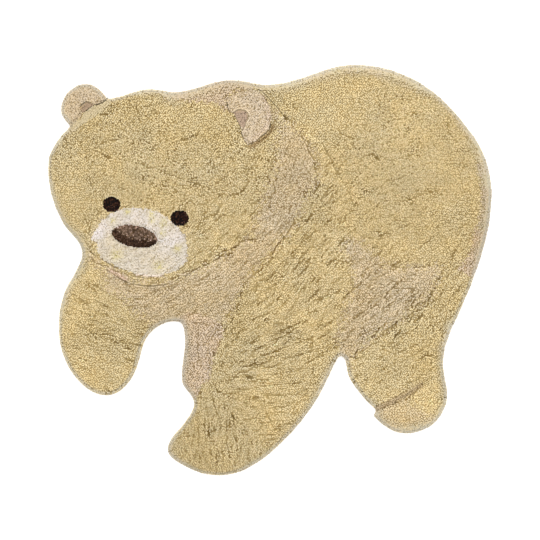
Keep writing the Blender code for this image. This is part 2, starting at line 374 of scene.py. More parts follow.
# the way the pile lies, and the lines where it parts
combing = (  # place, heading of the strokes in degrees, how strongly they are combed
    ("crown of the head", -330, 400, 60, 0.15),
    ("forehead", -380, 280, 80, 0.15),
    ("temple", -540, 280, 60, 0.3),
    ("left cheek", -500, 140, 65, 0.6),
    ("right cheek", -160, 80, 38, 0.8),
    ("side of the head", -120, 220, 40, 0.35),
    ("head by the ear", -180, 380, 30, 0.2),
    ("neck", 60, 260, 70, 0.45),
    ("chest", -250, -70, 28, 0.8),
    ("chest by the foreleg", -90, 20, 42, 0.8),
    ("far shoulder", -460, -40, -30, 0.6),
    ("far foreleg", -440, -150, -22, 0.8),
    ("far paw", -470, -290, -10, 0.5),
    ("third leg", -190, -260, 85, 0.4),
    ("near shoulder", 130, 140, 45, 0.7),
    ("near elbow", 60, -40, 50, 0.8),
    ("near foreleg", 40, -200, 18, 0.85),
    ("near wrist", -40, -330, -5, 0.8),
    ("near paw", -150, -450, 95, 0.6),
    ("withers", 60, 430, 60, 0.35),
    ("back", 280, 420, 20, 0.2),
    ("loin", 470, 300, -30, 0.2),
    ("side", 330, 180, 25, 0.4),
    ("belly", 330, -60, 40, 0.85),
    ("thigh", 470, -120, 60, 0.5),
    ("hind leg", 380, -260, 30, 0.6),
    ("hind foot", 390, -390, 15, 0.5),
)

grooves = (  # crisp lines cut into the pile: shade of the floor, half width, how broken, places
    ("top of the left inner ear", 0.38, 1.5, 0.15, [
        (-438, 465), (-445, 457), (-456, 449), (-472, 447), (-484, 451), (-495, 453), (-503, 449),
        (-510, 442)]),
    ("front of the right ear", 0.42, 1.4, 0.3, [
        (-116, 452), (-114, 438), (-108, 427), (-97, 422), (-89, 406), (-78, 381), (-75, 363), (-68, 347),
        (-58, 338)]),
    ("under the right ear", 0.42, 1.8, 0.4, [(-58, 338), (-39, 347), (-22, 361), (-5, 376), (2, 394)]),
    ("round the right inner ear", 0.5, 1.1, 0.15, [
        (-98, 424), (-86, 432), (-66, 429), (-58, 417), (-63, 401), (-70, 384), (-75, 376)]),
    ("fold behind the right ear", 0.4, 1.3, 0.2, [
        (-32, 487), (-22, 481), (-11, 471), (5, 454), (22, 436), (33, 421), (44, 407)]),
    ("upper crease of the chin", 0.74, 1.2, 0.6, [
        (-486, 52), (-467, 34), (-445, 23), (-412, 3), (-379, -13), (-345, -21), (-300, -21), (-262, -8),
        (-230, 12), (-200, 36)]),
    ("lower crease of the chin", 0.7, 1.2, 0.5, [
        (-446, 6), (-425, -10), (-400, -26), (-372, -37), (-340, -42), (-300, -42), (-268, -34), (-235, -18),
        (-189, 7)]),
)

partings = (  # lines where the tufts lie apart: how deep, half width of the slope beside them, places
    # head
    (0.6, 3.0, [(-400, 352), (-425, 350), (-447, 345), (-462, 332), (-468, 320)]),
    (0.8, 3.5, [(-470, 322), (-455, 315), (-443, 305), (-431, 301)]),
    (0.5, 3.0, [(-423, 318), (-411, 314)]),
    (0.5, 3.0, [(-484, 310), (-474, 304)]),
    (0.6, 3.0, [(-463, 422), (-450, 418), (-437, 421), (-428, 428), (-420, 434)]),
    (0.5, 2.6, [(-357, 432), (-356, 415), (-351, 400)]),
    (0.8, 3.0, [(-336, 461), (-325, 460), (-313, 458)]),
    (0.6, 3.0, [(-342, 443), (-330, 441), (-318, 444)]),
    (0.4, 3.0, [(-299, 372), (-292, 359), (-281, 366)]),
    (0.35, 2.6, [(-255, 345), (-235, 351), (-215, 356), (-200, 362)]),
    (0.55, 3.0, [(-262, 295), (-250, 290), (-235, 284)]),
    (0.45, 2.6, [(-396, 298), (-380, 293), (-368, 295)]),
    (0.55, 2.8, [(-330, 275), (-312, 275), (-296, 270), (-285, 262), (-265, 255), (-245, 248), (-225, 240),
                 (-205, 236), (-187, 232)]),
    (0.6, 3.0, [(-222, 239), (-205, 235), (-187, 231)]),
    (0.5, 3.6, [(-295, 228), (-280, 228), (-265, 223), (-250, 218)]),
    (0.55, 3.2, [(-402, 222), (-390, 218), (-378, 223)]),
    (0.35, 2.6, [(-325, 240), (-318, 230), (-310, 220), (-300, 219)]),
    (0.35, 2.6, [(-220, 187), (-195, 177), (-165, 180)]),
    (0.35, 2.6, [(-487, 252), (-485, 238), (-480, 228)]),
    (0.55, 2.4, [(-465, 165), (-463, 148), (-469, 130)]),
    (0.4, 2.4, [(-482, 188), (-486, 168), (-480, 148)]),
    (0.35, 2.4, [(-500, 150), (-494, 132), (-490, 118)]),
    (0.45, 2.8, [(-560, 361), (-548, 346), (-548, 330)]),
    (0.5, 3.4, [(-145, 217), (-130, 214), (-118, 212)]),
    (0.5, 3.0, [(-142, 205), (-126, 203)]),
    (0.45, 3.0, [(-110, 198), (-95, 203), (-80, 210), (-66, 222), (-58, 238)]),
    (0.4, 3.4, [(-135, 392), (-120, 386), (-110, 366), (-95, 354)]),
    (0.45, 3.0, [(-142, 305), (-125, 302), (-100, 300), (-82, 296), (-72, 287)]),
    (0.6, 3.0, [(8, 231), (14, 218), (11, 207), (3, 203), (-6, 208)]),
    (0.6, 2.6, [(3, 203), (1, 180), (2, 158)]),
    (0.45, 3.0, [(-30, 160), (-16, 158)]),
    # from the right ear down the neck
    (0.5, 3.0, [(38, 417), (52, 405), (66, 395)]),
    (0.6, 3.2, [(82, 366), (94, 350)]),
    (0.6, 2.8, [(98, 336), (109, 330), (120, 333)]),
    (0.6, 2.6, [(101, 334), (106, 318), (112, 308), (118, 295), (122, 275), (126, 252)]),
    (0.55, 2.6, [(125, 236), (122, 215), (116, 194)]),
    (0.4, 2.2, [(140, 342), (150, 325), (163, 300), (175, 275), (190, 250), (203, 228), (215, 205),
                (225, 180), (231, 165)]),
    (0.35, 2.2, [(52, 450), (65, 440), (76, 430)]),
    (0.65, 3.2, [(150, 208), (154, 215), (164, 224), (174, 231)]),
    (0.5, 2.8, [(182, 214), (166, 196), (160, 178)]),
    (0.5, 3.4, [(57, 178), (55, 166), (51, 154)]),
    (0.4, 5.0, [(215, 165), (228, 160), (240, 163)]),
    # back
    (0.4, 2.6, [(240, 455), (247, 441), (251, 429)]),
    (0.75, 3.2, [(274, 343), (285, 347), (298, 353)]),
    (0.5, 3.4, [(300, 336), (314, 341), (326, 353), (345, 358)]),
    (0.5, 8.0, [(334, 372), (343, 380), (352, 372)]),
    (0.6, 2.8, [(279, 333), (280, 320), (276, 307)]),
    (0.4, 2.6, [(280, 308), (294, 297), (306, 284)]),
    (0.55, 2.8, [(316, 297), (330, 296), (341, 300)]),
    (0.5, 2.8, [(347, 302), (359, 301)]),
    (0.5, 3.0, [(250, 391), (260, 391)]),
    (0.5, 2.8, [(374, 402), (385, 399), (396, 393)]),
    (0.5, 2.8, [(384, 422), (396, 421)]),
    (0.4, 2.8, [(480, 396), (480, 376), (489, 362), (498, 352)]),
    (0.35, 2.6, [(395, 342), (400, 324)]),
    (0.4, 2.8, [(185, 375), (200, 363), (222, 355), (236, 350)]),
    (0.35, 2.6, [(400, 205), (430, 208), (450, 212), (463, 204)]),
    (0.4, 2.8, [(512, 286), (513, 272), (530, 285)]),
    (0.55, 2.6, [(260, 105), (290, 103), (326, 97)]),
    (0.4, 2.6, [(262, 89), (276, 84)]),
    # under the chin
    (0.55, 3.4, [(-486, 50), (-476, 44)]),
    (0.55, 3.2, [(-458, 31), (-449, 27)]),
    (0.45, 2.6, [(-480, 32), (-468, 18), (-450, 12), (-436, 10)]),
    (0.4, 2.2, [(-425, 2), (-405, -6), (-385, -13), (-362, -13)]),
    (0.9, 4.6, [(-272, -27), (-252, -20), (-234, -8), (-214, -2)]),
    (0.75, 2.8, [(-214, -2), (-196, 4), (-183, 16), (-172, 28)]),
    (0.75, 3.0, [(-220, 4), (-207, 14), (-201, 28), (-206, 41)]),
    (0.75, 2.6, [(-180, 10), (-165, 18), (-147, 25), (-136, 35), (-118, 40)]),
    (0.7, 4.4, [(-116, 41), (-99, 46)]),
    (0.6, 2.4, [(-165, 50), (-154, 63)]),
    (0.85, 2.6, [(-146, 38), (-125, 50), (-105, 58), (-90, 65), (-75, 78), (-60, 82), (-46, 82)]),
    # far foreleg
    (0.5, 2.6, [(-495, -175), (-480, -170), (-472, -180), (-463, -190)]),
    (0.75, 3.2, [(-450, -171), (-436, -175), (-423, -178)]),
    (0.6, 2.6, [(-432, -185), (-412, -195), (-395, -205), (-380, -212), (-368, -218)]),
    (0.8, 3.2, [(-390, -209), (-378, -214)]),
    (0.6, 3.0, [(-517, -237), (-505, -240), (-494, -245)]),
    (0.4, 2.8, [(-532, -255), (-515, -253)]),
    (0.45, 3.0, [(-432, -128), (-419, -130)]),
    (0.35, 2.8, [(-488, -148), (-463, -150)]),
    (0.5, 2.8, [(-366, -172), (-344, -173)]),
    (0.5, 2.8, [(-362, -199), (-349, -204)]),
    (0.35, 2.8, [(-462, -262), (-448, -268)]),
    (0.4, 2.8, [(-442, -322), (-428, -331)]),
    (0.45, 2.8, [(-536, -64), (-520, -71), (-506, -80), (-500, -93)]),
    (0.35, 2.6, [(-470, -40), (-455, -50)]),
    # third leg
    (0.35, 6.0, [(-192, -160), (-195, -200), (-192, -245)]),
    (0.9, 3.4, [(-152, -214), (-151, -234)]),
    (0.6, 3.0, [(-149, -144), (-133, -150)]),
    (0.45, 2.6, [(-208, -143), (-185, -143), (-164, -149)]),
    (0.45, 2.8, [(-207, -254), (-204, -263)]),
    # near shoulder and elbow
    (0.6, 3.4, [(62, 142), (66, 126), (74, 118)]),
    (0.65, 3.0, [(64, 130), (54, 112), (48, 100)]),
    (0.85, 3.2, [(38, 90), (36, 76), (34, 62)]),
    (0.55, 2.8, [(24, 74), (13, 56), (5, 32), (-9, 16), (-16, 12)]),
    (0.5, 3.0, [(-16, 14), (-30, -4), (-45, -14), (-62, -30), (-71, -46)]),
    (0.5, 3.0, [(-72, -46), (-80, -64), (-74, -77)]),
    (0.85, 3.4, [(-84, -92), (-89, -108), (-97, -124), (-104, -140)]),
    (0.6, 2.8, [(-104, -140), (-115, -150), (-126, -165), (-140, -176)]),
    (0.8, 3.2, [(-106, -160), (-100, -171)]),
    (0.6, 3.2, [(-88, -178), (-94, -188), (-106, -192)]),
    (0.5, 2.6, [(-80, -139), (-95, -146)]),
    (0.6, 3.2, [(23, -8), (32, -15), (39, -23)]),
    (0.5, 3.0, [(57, -22), (63, -23)]),
    (0.5, 3.0, [(22, -33), (27, -38)]),
    (0.55, 3.0, [(-34, -50), (-43, -63)]),
    (0.45, 3.0, [(2, -83), (8, -82)]),
    (0.45, 2.8, [(-52, -141), (-44, -142)]),
    (0.5, 2.8, [(8, -147), (28, -144), (47, -147)]),
    (0.5, 2.8, [(123, 61), (134, 70), (149, 68)]),
    (0.45, 2.8, [(100, 20), (112, 17)]),
    (0.5, 2.6, [(148, 26), (154, 14)]),
    (0.45, 2.6, [(75, 69), (95, 80), (110, 93)]),
    (0.6, 3.2, [(96, -111), (103, -107)]),
    (0.8, 3.0, [(171, 124), (182, 126), (194, 127), (206, 134)]),
    (0.5, 2.8, [(158, 98), (166, 106), (174, 113)]),
    # top of the near foreleg
    (0.9, 3.0, [(-9, -214), (5, -203), (18, -193), (25, -179)]),
    (0.55, 2.6, [(28, -171), (45, -168), (62, -170), (87, -169)]),
    (0.85, 2.8, [(38, -202), (50, -190), (61, -177)]),
    (0.7, 2.8, [(8, -221), (25, -215), (40, -207)]),
    (0.8, 2.8, [(-82, -262), (-62, -258), (-45, -252), (-31, -245)]),
    (0.9, 3.2, [(-138, -303), (-118, -298), (-100, -295), (-90, -283)]),
    (0.8, 2.8, [(-90, -283), (-80, -276), (-65, -275), (-48, -265)]),
    (0.6, 2.8, [(-27, -257), (-10, -262), (10, -260), (27, -250)]),
    (0.45, 2.6, [(-47, -197), (-34, -181)]),
    (0.45, 2.6, [(115, -190), (112, -215), (104, -236)]),
    (0.35, 3.0, [(118, -255), (115, -280), (109, -302)]),
    (0.35, 3.4, [(101, -320), (92, -340), (74, -360), (60, -385)]),
    (0.35, 3.0, [(30, -307), (5, -311), (-30, -312)]),
    # near paw
    (0.7, 3.2, [(-152, -328), (-135, -328), (-120, -335), (-110, -342), (-99, -345)]),
    (0.5, 3.0, [(-156, -348), (-150, -365), (-143, -385), (-137, -402)]),
    (0.5, 3.2, [(-172, -344), (-170, -356)]),
    (0.6, 3.2, [(-116, -359), (-104, -363)]),
    (0.65, 3.2, [(-60, -368), (-43, -368)]),
    (0.45, 2.8, [(-76, -355), (-60, -358)]),
    (0.5, 3.0, [(-42, -341), (-36, -343)]),
    (0.5, 2.8, [(-6, -334), (-4, -347)]),
    (0.7, 3.2, [(-165, -415), (-165, -435), (-161, -457)]),
    (0.9, 6.0, [(-163, -462), (-150, -463), (-144, -475)]),
    (0.7, 4.0, [(-141, -474), (-140, -486), (-137, -502)]),
    (0.6, 3.0, [(-107, -414), (-107, -431)]),
    (0.5, 3.0, [(-98, -442), (-96, -450)]),
    (0.35, 4.0, [(-193, -425), (-194, -450), (-190, -482)]),
    (0.4, 3.0, [(-235, -450), (-217, -447), (-200, -450)]),
    (0.45, 2.8, [(-9, -384), (-2, -398), (3, -411)]),
    (0.4, 2.8, [(-19, -461), (-5, -465)]),
    # belly and thigh
    (0.6, 2.8, [(502, 56), (496, 44), (490, 30), (480, 18), (467, 12)]),
    (0.95, 3.6, [(464, -3), (465, -16)]),
    (0.7, 3.2, [(457, -24), (463, -31)]),
    (0.7, 3.0, [(451, -35), (445, -50), (435, -60), (424, -71)]),
    (0.6, 3.0, [(416, -85), (400, -92), (385, -100), (368, -109)]),
    (0.7, 3.0, [(431, -87), (422, -98), (407, -101)]),
    (0.5, 2.8, [(410, -105), (390, -112), (378, -121), (362, -129)]),
    (0.75, 3.2, [(363, -133), (380, -128), (406, -124)]),
    (0.6, 3.4, [(418, -119), (417, -127)]),
    (0.5, 3.0, [(428, -117), (436, -118)]),
    (0.8, 3.0, [(347, -137), (335, -148), (328, -158), (314, -171)]),
    (0.95, 4.0, [(296, -156), (290, -165), (283, -173)]),
    (0.6, 3.0, [(284, -172), (274, -183)]),
    (0.5, 2.8, [(299, -174), (310, -176)]),
    (0.4, 2.8, [(330, -48), (345, -50), (370, -50), (386, -48)]),
    (0.65, 3.4, [(336, -44), (322, -55), (314, -66), (307, -77)]),
    (0.45, 2.6, [(298, 12), (315, 15), (335, 10), (360, 5), (400, 8), (432, 10)]),
    (0.5, 2.8, [(268, -97), (292, -95)]),
    (0.45, 3.4, [(250, -150), (255, -167), (250, -187), (244, -207)]),
    (0.9, 3.6, [(238, -214), (230, -226), (228, -236)]),
    (0.6, 8.0, [(212, -228), (222, -236), (234, -238)]),
    (0.5, 3.4, [(197, -200), (202, -206)]),
    (0.4, 2.4, [(204, -4), (214, -14), (219, -28), (223, -42)]),
    # hind leg
    (0.45, 2.8, [(300, -206), (320, -207), (346, -209)]),
    (0.45, 2.8, [(318, -218), (336, -226)]),
    (0.65, 3.0, [(374, -208), (390, -203), (402, -199)]),
    (0.55, 2.8, [(413, -228), (442, -230)]),
    (0.45, 2.8, [(360, -215), (372, -222), (386, -229)]),
    (0.5, 3.0, [(386, -190), (394, -191)]),
    (0.5, 3.0, [(432, -346), (434, -355)]),
    (0.5, 3.0, [(434, -321), (436, -330)]),
    (0.4, 3.0, [(410, -282), (422, -282)]),
    (0.35, 2.4, [(302, -375), (340, -358), (374, -344), (392, -328), (410, -310)]),
    (0.25, 2.4, [(286, -368), (329, -347), (355, -333), (379, -316)]),
)

paleStrokes = (  # lines where the ends catch the light: how strongly, half width, places
    (0.5, 8.0, [(-262, 461), (-240, 456), (-215, 451), (-185, 448), (-160, 442), (-138, 430)]),
    (0.35, 4.0, [(-120, 412), (-108, 395), (-96, 370), (-88, 352)]),
    (0.9, 6.0, [(100, 366), (118, 354), (133, 340), (143, 312), (152, 292), (162, 276), (171, 264)]),
    (0.5, 9.0, [(182, 246), (205, 232), (228, 205), (245, 178)]),
    (0.5, 4.0, [(55, 432), (70, 422)]),
    (0.7, 6.0, [(398, 384), (410, 370), (421, 351)]),
    (0.5, 8.0, [(225, 490), (240, 474)]),
    (0.4, 7.0, [(185, 420), (196, 416), (180, 380)]),
    (0.5, 8.0, [(405, 432), (425, 430), (446, 425)]),
    (0.5, 6.0, [(430, 280), (448, 276), (462, 279)]),
    (0.5, 6.0, [(500, 340), (508, 332)]),
    (0.5, 7.0, [(-345, 300), (-328, 305)]),
    (0.6, 4.0, [(-98, 285), (-88, 283)]),
    (0.4, 7.0, [(-535, 265), (-515, 262)]),
    (0.5, 7.0, [(-346, 236), (-335, 230)]),
    (0.5, 9.0, [(-500, 116), (-478, 108)]),
    (0.6, 6.0, [(-205, -118), (-190, -122), (-178, -128)]),
    (0.6, 5.0, [(-142, -196), (-139, -212)]),
    (0.5, 5.0, [(62, 88), (76, 98)]),
    (0.5, 6.0, [(168, 86), (180, 84)]),
    (0.6, 7.0, [(236, 0), (236, -22), (233, -42)]),
    (0.3, 3.0, [(226, 110), (232, 70), (236, 20)]),
    (0.6, 8.0, [(355, -70), (372, -66)]),
    (0.7, 4.0, [(315, -132), (311, -145), (314, -158)]),
    (0.4, 8.0, [(42, -60), (64, -66)]),
    (0.4, 9.0, [(30, -86), (30, -110)]),
    (0.5, 7.0, [(-22, -195), (-14, -186)]),
    (0.5, 5.0, [(48, -226), (72, -206), (95, -190)]),
    (0.4, 5.0, [(40, -145), (70, -150), (98, -128)]),
    (0.5, 9.0, [(20, -318), (50, -324), (72, -322)]),
    (0.4, 9.0, [(0, -384), (20, -388)]),
    (0.4, 9.0, [(-70, -403), (-40, -402)]),
    (0.5, 6.0, [(-190, -336), (-178, -324), (-168, -316)]),
    (0.6, 5.0, [(283, -363), (300, -353), (330, -343), (346, -334)]),
    (0.5, 9.0, [(350, -375), (362, -370)]),
    (0.5, 8.0, [(-120, -490), (-122, -505)]),
)

combLines = {  # wavy lines strewn along the combing, besides the partings
    "tries": 1500,
    "fromEdge": 25,
    "step": 3.0,
    "turn": 0.6,
    "turnSize": 7,
    "fewest": 4,
    "most": 18,
    "depths": (0.2, 0.65),  # from and to
    "faintShare": 0.4,  # of them in the paler fields
    "halfWidth": 1.8,
}

partedRow = {  # the row of thin, sunk tufts along each line, painted darker as the shade in the parting
    "depthShare": 1.2,  # of the depths in the table
    "broken": 0.3,
    "step": 0.8,
    "tuftEvery": 3,  # steps
    "slopeWidth": 2.0,  # of the line's half width
    "clearWidth": 1.7,  # beside the row no other tuft stands
    "leastDepth": 0.1,
    "fromEdge": 8,
    "radius": 1.6,
    "jitter": 0.5,
    "push": 0.8,  # how far the tufts beside it are bent aside
}

plantings = {  # how densely each part is tufted: spacing, radius of a tuft, jitter as a share of the spacing
    "body": (4.75, 2.85, 0.28),
    "rose": (4.75, 3.1, 0.26),
    "ears": (4.4, 3.2, 0.2),
    "muzzle": (4.6, 3.4, 0.2),
    "rim": (4.4, 3.3, 0.15),
    "marks": (3.6, 2.6, 0.12),
}

rims = (  # the sheared border: place, how wide it is, how far it is paler than the yarn, how light it is painted, lighter on the upper edges and darker on the lower ones as the light from the top falls
    ("top of the head", -400, 460, 9, 0.4, 1.0),
    ("crown", -320, 478, 15, 0.75, 1.0),
    ("between the ears", -250, 470, 30, 0.7, 0.98),
    ("nape", -110, 505, 26, 0.5, 0.97),
    ("behind the right ear", 0, 495, 22, 0.6, 1.02),
    ("withers", 70, 505, 22, 0.85, 1.02),
    ("back", 220, 533, 26, 0.85, 1.02),
    ("back above the rump", 340, 505, 26, 0.85, 1.02),
    ("top of the rump", 470, 430, 13, 0.6, 0.98),
    ("rump", 540, 345, 18, 0.9, 1.02),
    ("end of the rump", 580, 265, 24, 1.0, 1.0),
    ("tail end", 597, 180, 22, 1.0, 0.95),
    ("below the tail end", 578, 80, 20, 0.7, 0.92),
    ("back of the thigh", 530, -70, 7, 0.3, 0.9),
    ("thigh", 485, -175, 17, 0.8, 0.98),
    ("back of the hind leg", 468, -270, 14, 0.6, 0.93),
    ("heel", 460, -370, 16, 0.7, 0.95),
    ("under the hind foot", 380, -435, 24, 0.8, 0.95),
    ("toes of the hind foot", 290, -400, 16, 0.5, 0.84),
    ("front of the hind leg", 225, -300, 6, 0.3, 0.85),
    ("back of the near foreleg", 140, -320, 16, 0.65, 0.97),
    ("near wrist", 50, -435, 10, 0.4, 0.92),
    ("heel of the near paw", -30, -515, 12, 0.45, 0.92),
    ("near paw", -150, -550, 5, 0.2, 0.75),
    ("toes of the near paw", -270, -495, 14, 0.5, 0.9),
    ("front of the near paw", -235, -410, 8, 0.4, 0.88),
    ("third leg", -238, -270, 14, 0.4, 0.92),
    ("arch of the chest", -270, -140, 14, 0.5, 0.9),
    ("inside of the far foreleg", -345, -215, 7, 0.4, 0.94),
    ("far paw", -440, -340, 9, 0.45, 0.9),
    ("outside of the far foreleg", -560, -200, 9, 0.45, 0.92),
    ("far shoulder", -545, -50, 17, 0.65, 0.97),
    ("under the cheek", -508, 30, 22, 0.75, 0.92),
    ("cheek", -555, 120, 18, 0.7, 0.9),
    ("side of the head", -585, 200, 13, 0.65, 0.96),
    ("temple", -598, 280, 6, 0.35, 0.92),
    ("above the temple", -580, 345, 13, 0.65, 0.98),
    ("left ear", -520, 480, 8, 0.6, 0.95),
)

tones = (  # how light the pile lies, and how strongly its specks show: place, lightness, share of the specks
    ("brow", -480, 330, 0.96, 0.9),
    ("forehead", -350, 400, 0.9, 0.9),
    ("crown", -240, 420, 1.02, 0.6),
    ("middle of the head", -330, 290, 0.96, 0.8),
    ("right of the head", -170, 330, 0.96, 0.6),
    ("before the right ear", -60, 310, 0.98, 1.0),
    ("right cheek", -110, 180, 0.94, 0.8),
    ("left cheek", -530, 190, 1.0, 0.2),
    ("jaw", -130, 100, 1.08, 0.5),
    ("neck", 60, 290, 0.96, 0.8),
    ("nape", -110, 470, 0.92, 0.8),
    ("throat", -60, 120, 0.96, 0.6),
    ("withers", 110, 440, 1.04, 0.3),
    ("front of the back", 210, 450, 1.04, 0.5),
    ("middle of the back", 330, 430, 1.02, 0.8),
    ("rump", 480, 300, 1.0, 0.5),
    ("middle of the body", 270, 260, 0.98, 0.8),
    ("flank", 420, 130, 0.96, 0.5),
    ("behind the shoulder", 220, 130, 0.98, 0.5),
    ("belly", 400, 20, 1.06, 0.3),
    ("shoulder", 110, 170, 0.92, 1.0),
    ("lower shoulder", 150, 50, 1.04, 1.0),
    ("upper foreleg", 30, 20, 1.0, 1.0),
    ("front of the foreleg", -120, -100, 0.94, 0.6),
    ("foreleg", 0, -200, 0.96, 1.0),
    ("back of the foreleg", 140, -160, 1.04, 0.9),
    ("wrist", 40, -350, 1.08, 0.4),
    ("near paw", -110, -430, 0.92, 0.9),
    ("toes of the near paw", -210, -480, 0.92, 0.5),
    ("chest", -330, -20, 1.0, 0.7),
    ("lower chest", -150, 20, 1.04, 0.6),
    ("third leg", -230, -200, 0.9, 0.5),
    ("far shoulder", -500, -60, 1.1, 0.3),
    ("far foreleg", -440, -150, 0.96, 0.6),
    ("far paw", -470, -290, 1.1, 0.3),
    ("thigh", 430, -110, 0.96, 1.0),
    ("hind leg", 370, -230, 0.98, 0.6),
    ("hind foot", 390, -390, 1.18, 0.2),
    ("left ear", -512, 450, 0.88, 0.6),
    ("right ear", -45, 415, 0.94, 0.8),
)

pile = {  # lengths in millimetres
    "length": 9.5,  # the upper part of each tuft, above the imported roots
    "lengthSpread": 0.7,
    "rootBack": 0.75,  # how far a root stands back from its end, as a share of the lean
    "lowestRoot": 1.6,
    "leastRise": 2.0,
    "aboveFloor": 0.4,
    "lowest": 3.0,  # a lower tuft is left out
    "tipSpread": 0.2,
    "radiusSpread": 0.1,
    "lean": 2.4,
    "leanDrift": 1.0,  # slow changes of the way the tufts lean
    "leanWaver": 0.4,  # quick ones
    "wander": 0.45,  # the same of single tufts
    "headingSpread": 0.1,  # of their strands
    "stretch": 0.25,  # how much longer than wide a tuft's end is where the pile is combed
    "streakReach": 8.0,
    "streakWidth": 5.0,
    "streakDepth": 0.5,
    "slopeDepth": 0.6,  # of the tufts beside a parting
    "rowDepth": 2.2,  # of those in it
    "edgeLean": 6.0,
    "edgeWidth": 17.0,
    "edgeGap": 3.6,  # nearer the edge only the edge rows grow
    "rimBreadth": 1.12,  # of the widths in the table
    "rimWaver": 0.25,
    "strandWidth": 4.6,  # of the strands that show in each end
    "strandLength": 5.5,
    "strandHeight": 6.0,
    "seed": 7,
}

shades = {  # how light the tufts' ends are, as shares of the yarn's own light; sizes in millimetres
    "golden": 1.075,
    "muzzle": 1.02,
    "unshorn": 0.08,  # added where golden and rose ends aren't sheared
    "broad": 0.035,  # slow changes over the whole pile
    "patchy": 0.03,  # quicker ones
    "streaked": 0.03,
    "streakedRose": 0.08,
    "pale": 0.16,  # added on the pale strokes
    "warmth": (0.05, 0.04, 0.02),  # of slow, quick and single changes towards a warmer yarn
    "warmerDark": 0.1,
    "rimNoise": 0.25,
    "rimShares": (0.6, 1.35),  # from and to, how far single tufts of the rim take its colour
    "pink": 0.3,
    "pinkSpread": 0.4,
    # painted light from the bright floor, greying the yarn nearest the edge
    "floorLitGrey": 0.6,
    "floorLitGreyWidth": 9.0,
    "fleck": 0.9,
    "fleckShares": (0.2, 1.4),
    "grainSize": 4.9,  # of the light and dark specks
    "grainReach": 17.0,  # how far they are drawn out where the pile is combed
    "lightGrain": 0.02,
    # painted shade of the deep gaps between ends, partly the ends' own darker tone
    "darkGrain": 0.5,
    "darkFrom": 0.45,  # an end this far below the mean is a dark speck
    "darkMean": 0.21,  # taken off again, so that the pile keeps its tone
    "clusterSize": 34.0,  # of the places where the dark specks gather
    "cluster": 0.35,
    # painted shade of the sunk tufts in the partings
    "parted": 0.95,
    # painted highlight on the pile just beside a parting
    "ridge": 0.1,
    "slope": 1.0,  # of the side that faces away from the light
    "darkest": 0.33,
    "browning": (1, 1.2, 1.8),  # how fast red, green and blue fall as an end gets darker
    "smoothSpecks": 0.4,  # how far the specks fade where the pile is sheared
    "bandSpecks": 0.8,
}

# how strongly the specks show on the yarns that aren't as speckled as the golden one
specksOfYarn = {"white": 0.45, "cream": 0.45, "ear": 0.6, "rose": 0.8, "dustyRose": 0.8}

rimColours = linear(216, 206, 176), linear(217, 201, 180)
fleckColour = linear(212, 201, 149)
randoms = np.random.default_rng(pile["seed"])


def nearness(points, table, blur, power):
    # how much each place of a table counts at each point
    spots = np.array([row[1:3] for row in table], float)
    gap = np.linalg.norm(points[:, None] - spots, axis=2)
    weight = 1 / (gap + blur) ** power
    return weight / weight.sum(1, keepdims=True)


def combedAt(points):
    # the strokes' unit direction and strength at each point; a stroke has no sign, so its heading is doubled
    doubled = np.radians([2 * row[3] for row in combing])
    strength = np.array([row[4] for row in combing])
    weight = nearness(points, combing, blur=25, power=3)
    x, y = weight @ np.cos(doubled), weight @ np.sin(doubled)
    heading = np.arctan2(y, x) / 2
    return np.stack([np.cos(heading), np.sin(heading)], 1), weight @ strength


def rimAt(points):
    # how wide the sheared border is there, how far it is paler than the yarn and how light it is painted, as
    # light from the top falls on it
    return (nearness(points, rims, blur=12, power=4) @ np.array([row[3:] for row in rims], float)).T


def toneAt(points):
    # how light the pile is there and how strong its specks are
    return (nearness(points, tones, blur=25, power=3) @ np.array([row[3:] for row in tones], float)).T


def smoothNoise(points, size, layer):
    # noise from -1 to 1 at each point, with features of the given size
    spot = points / size
    cell = np.floor(spot).astype(np.int64)
    part = spot - cell
    part = part * part * (3 - 2 * part)

    def corner(i, j):
        # a number that looks random but is always the same for a cell
        stirred = (cell[:, 0] + i) * 374761393 + (cell[:, 1] + j) * 668265263 + layer * 2147483
        stirred = ((stirred ^ (stirred >> 13)) * 1274126177) & 0x7FFFFFFF
        return (stirred ^ (stirred >> 15)) % 4096 / 2047.5 - 1

    low = corner(0, 0) * (1 - part[:, 0]) + corner(1, 0) * part[:, 0]
    high = corner(0, 1) * (1 - part[:, 0]) + corner(1, 1) * part[:, 0]
    return low * (1 - part[:, 1]) + high * part[:, 1]


def drawnOutNoise(points, way, reach, size, layer):
    # the same noise drawn out along a way, as far as reach says at each point, with a spread of 1
    total, squares = np.zeros(len(points)), np.zeros(len(points))
    step = size * 0.8
    for k in range(-6, 7):
        share = np.exp(-(k * step / np.maximum(reach, 0.6)) ** 2)
        total += share * smoothNoise(points + way * (k * step), size, layer)
        squares += share ** 2
    total /= np.sqrt(squares)
    return total / total.std()


def withoutSlow(points, values, reach):
    # the values less what they share with their neighbours inside that reach, with a spread of 1
    half = 660  # of a grid over the rug; one cell is a millimetre
    cells = np.rint(points + half).astype(int)
    sums, counts = np.zeros((2, 2 * half, 2 * half))
    np.add.at(sums, (cells[:, 1], cells[:, 0]), values)
    np.add.at(counts, (cells[:, 1], cells[:, 0]), 1)
    waves = np.fft.fftfreq(2 * half)
    fall = np.exp(-2 * (np.pi * reach) ** 2 * (waves[:, None] ** 2 + waves[None, :] ** 2))
    sums, counts = (np.fft.ifft2(np.fft.fft2(grid) * fall).real for grid in (sums, counts))
    rest = values - (sums / np.maximum(counts, 1e-6))[cells[:, 1], cells[:, 0]]
    return rest / rest.std()


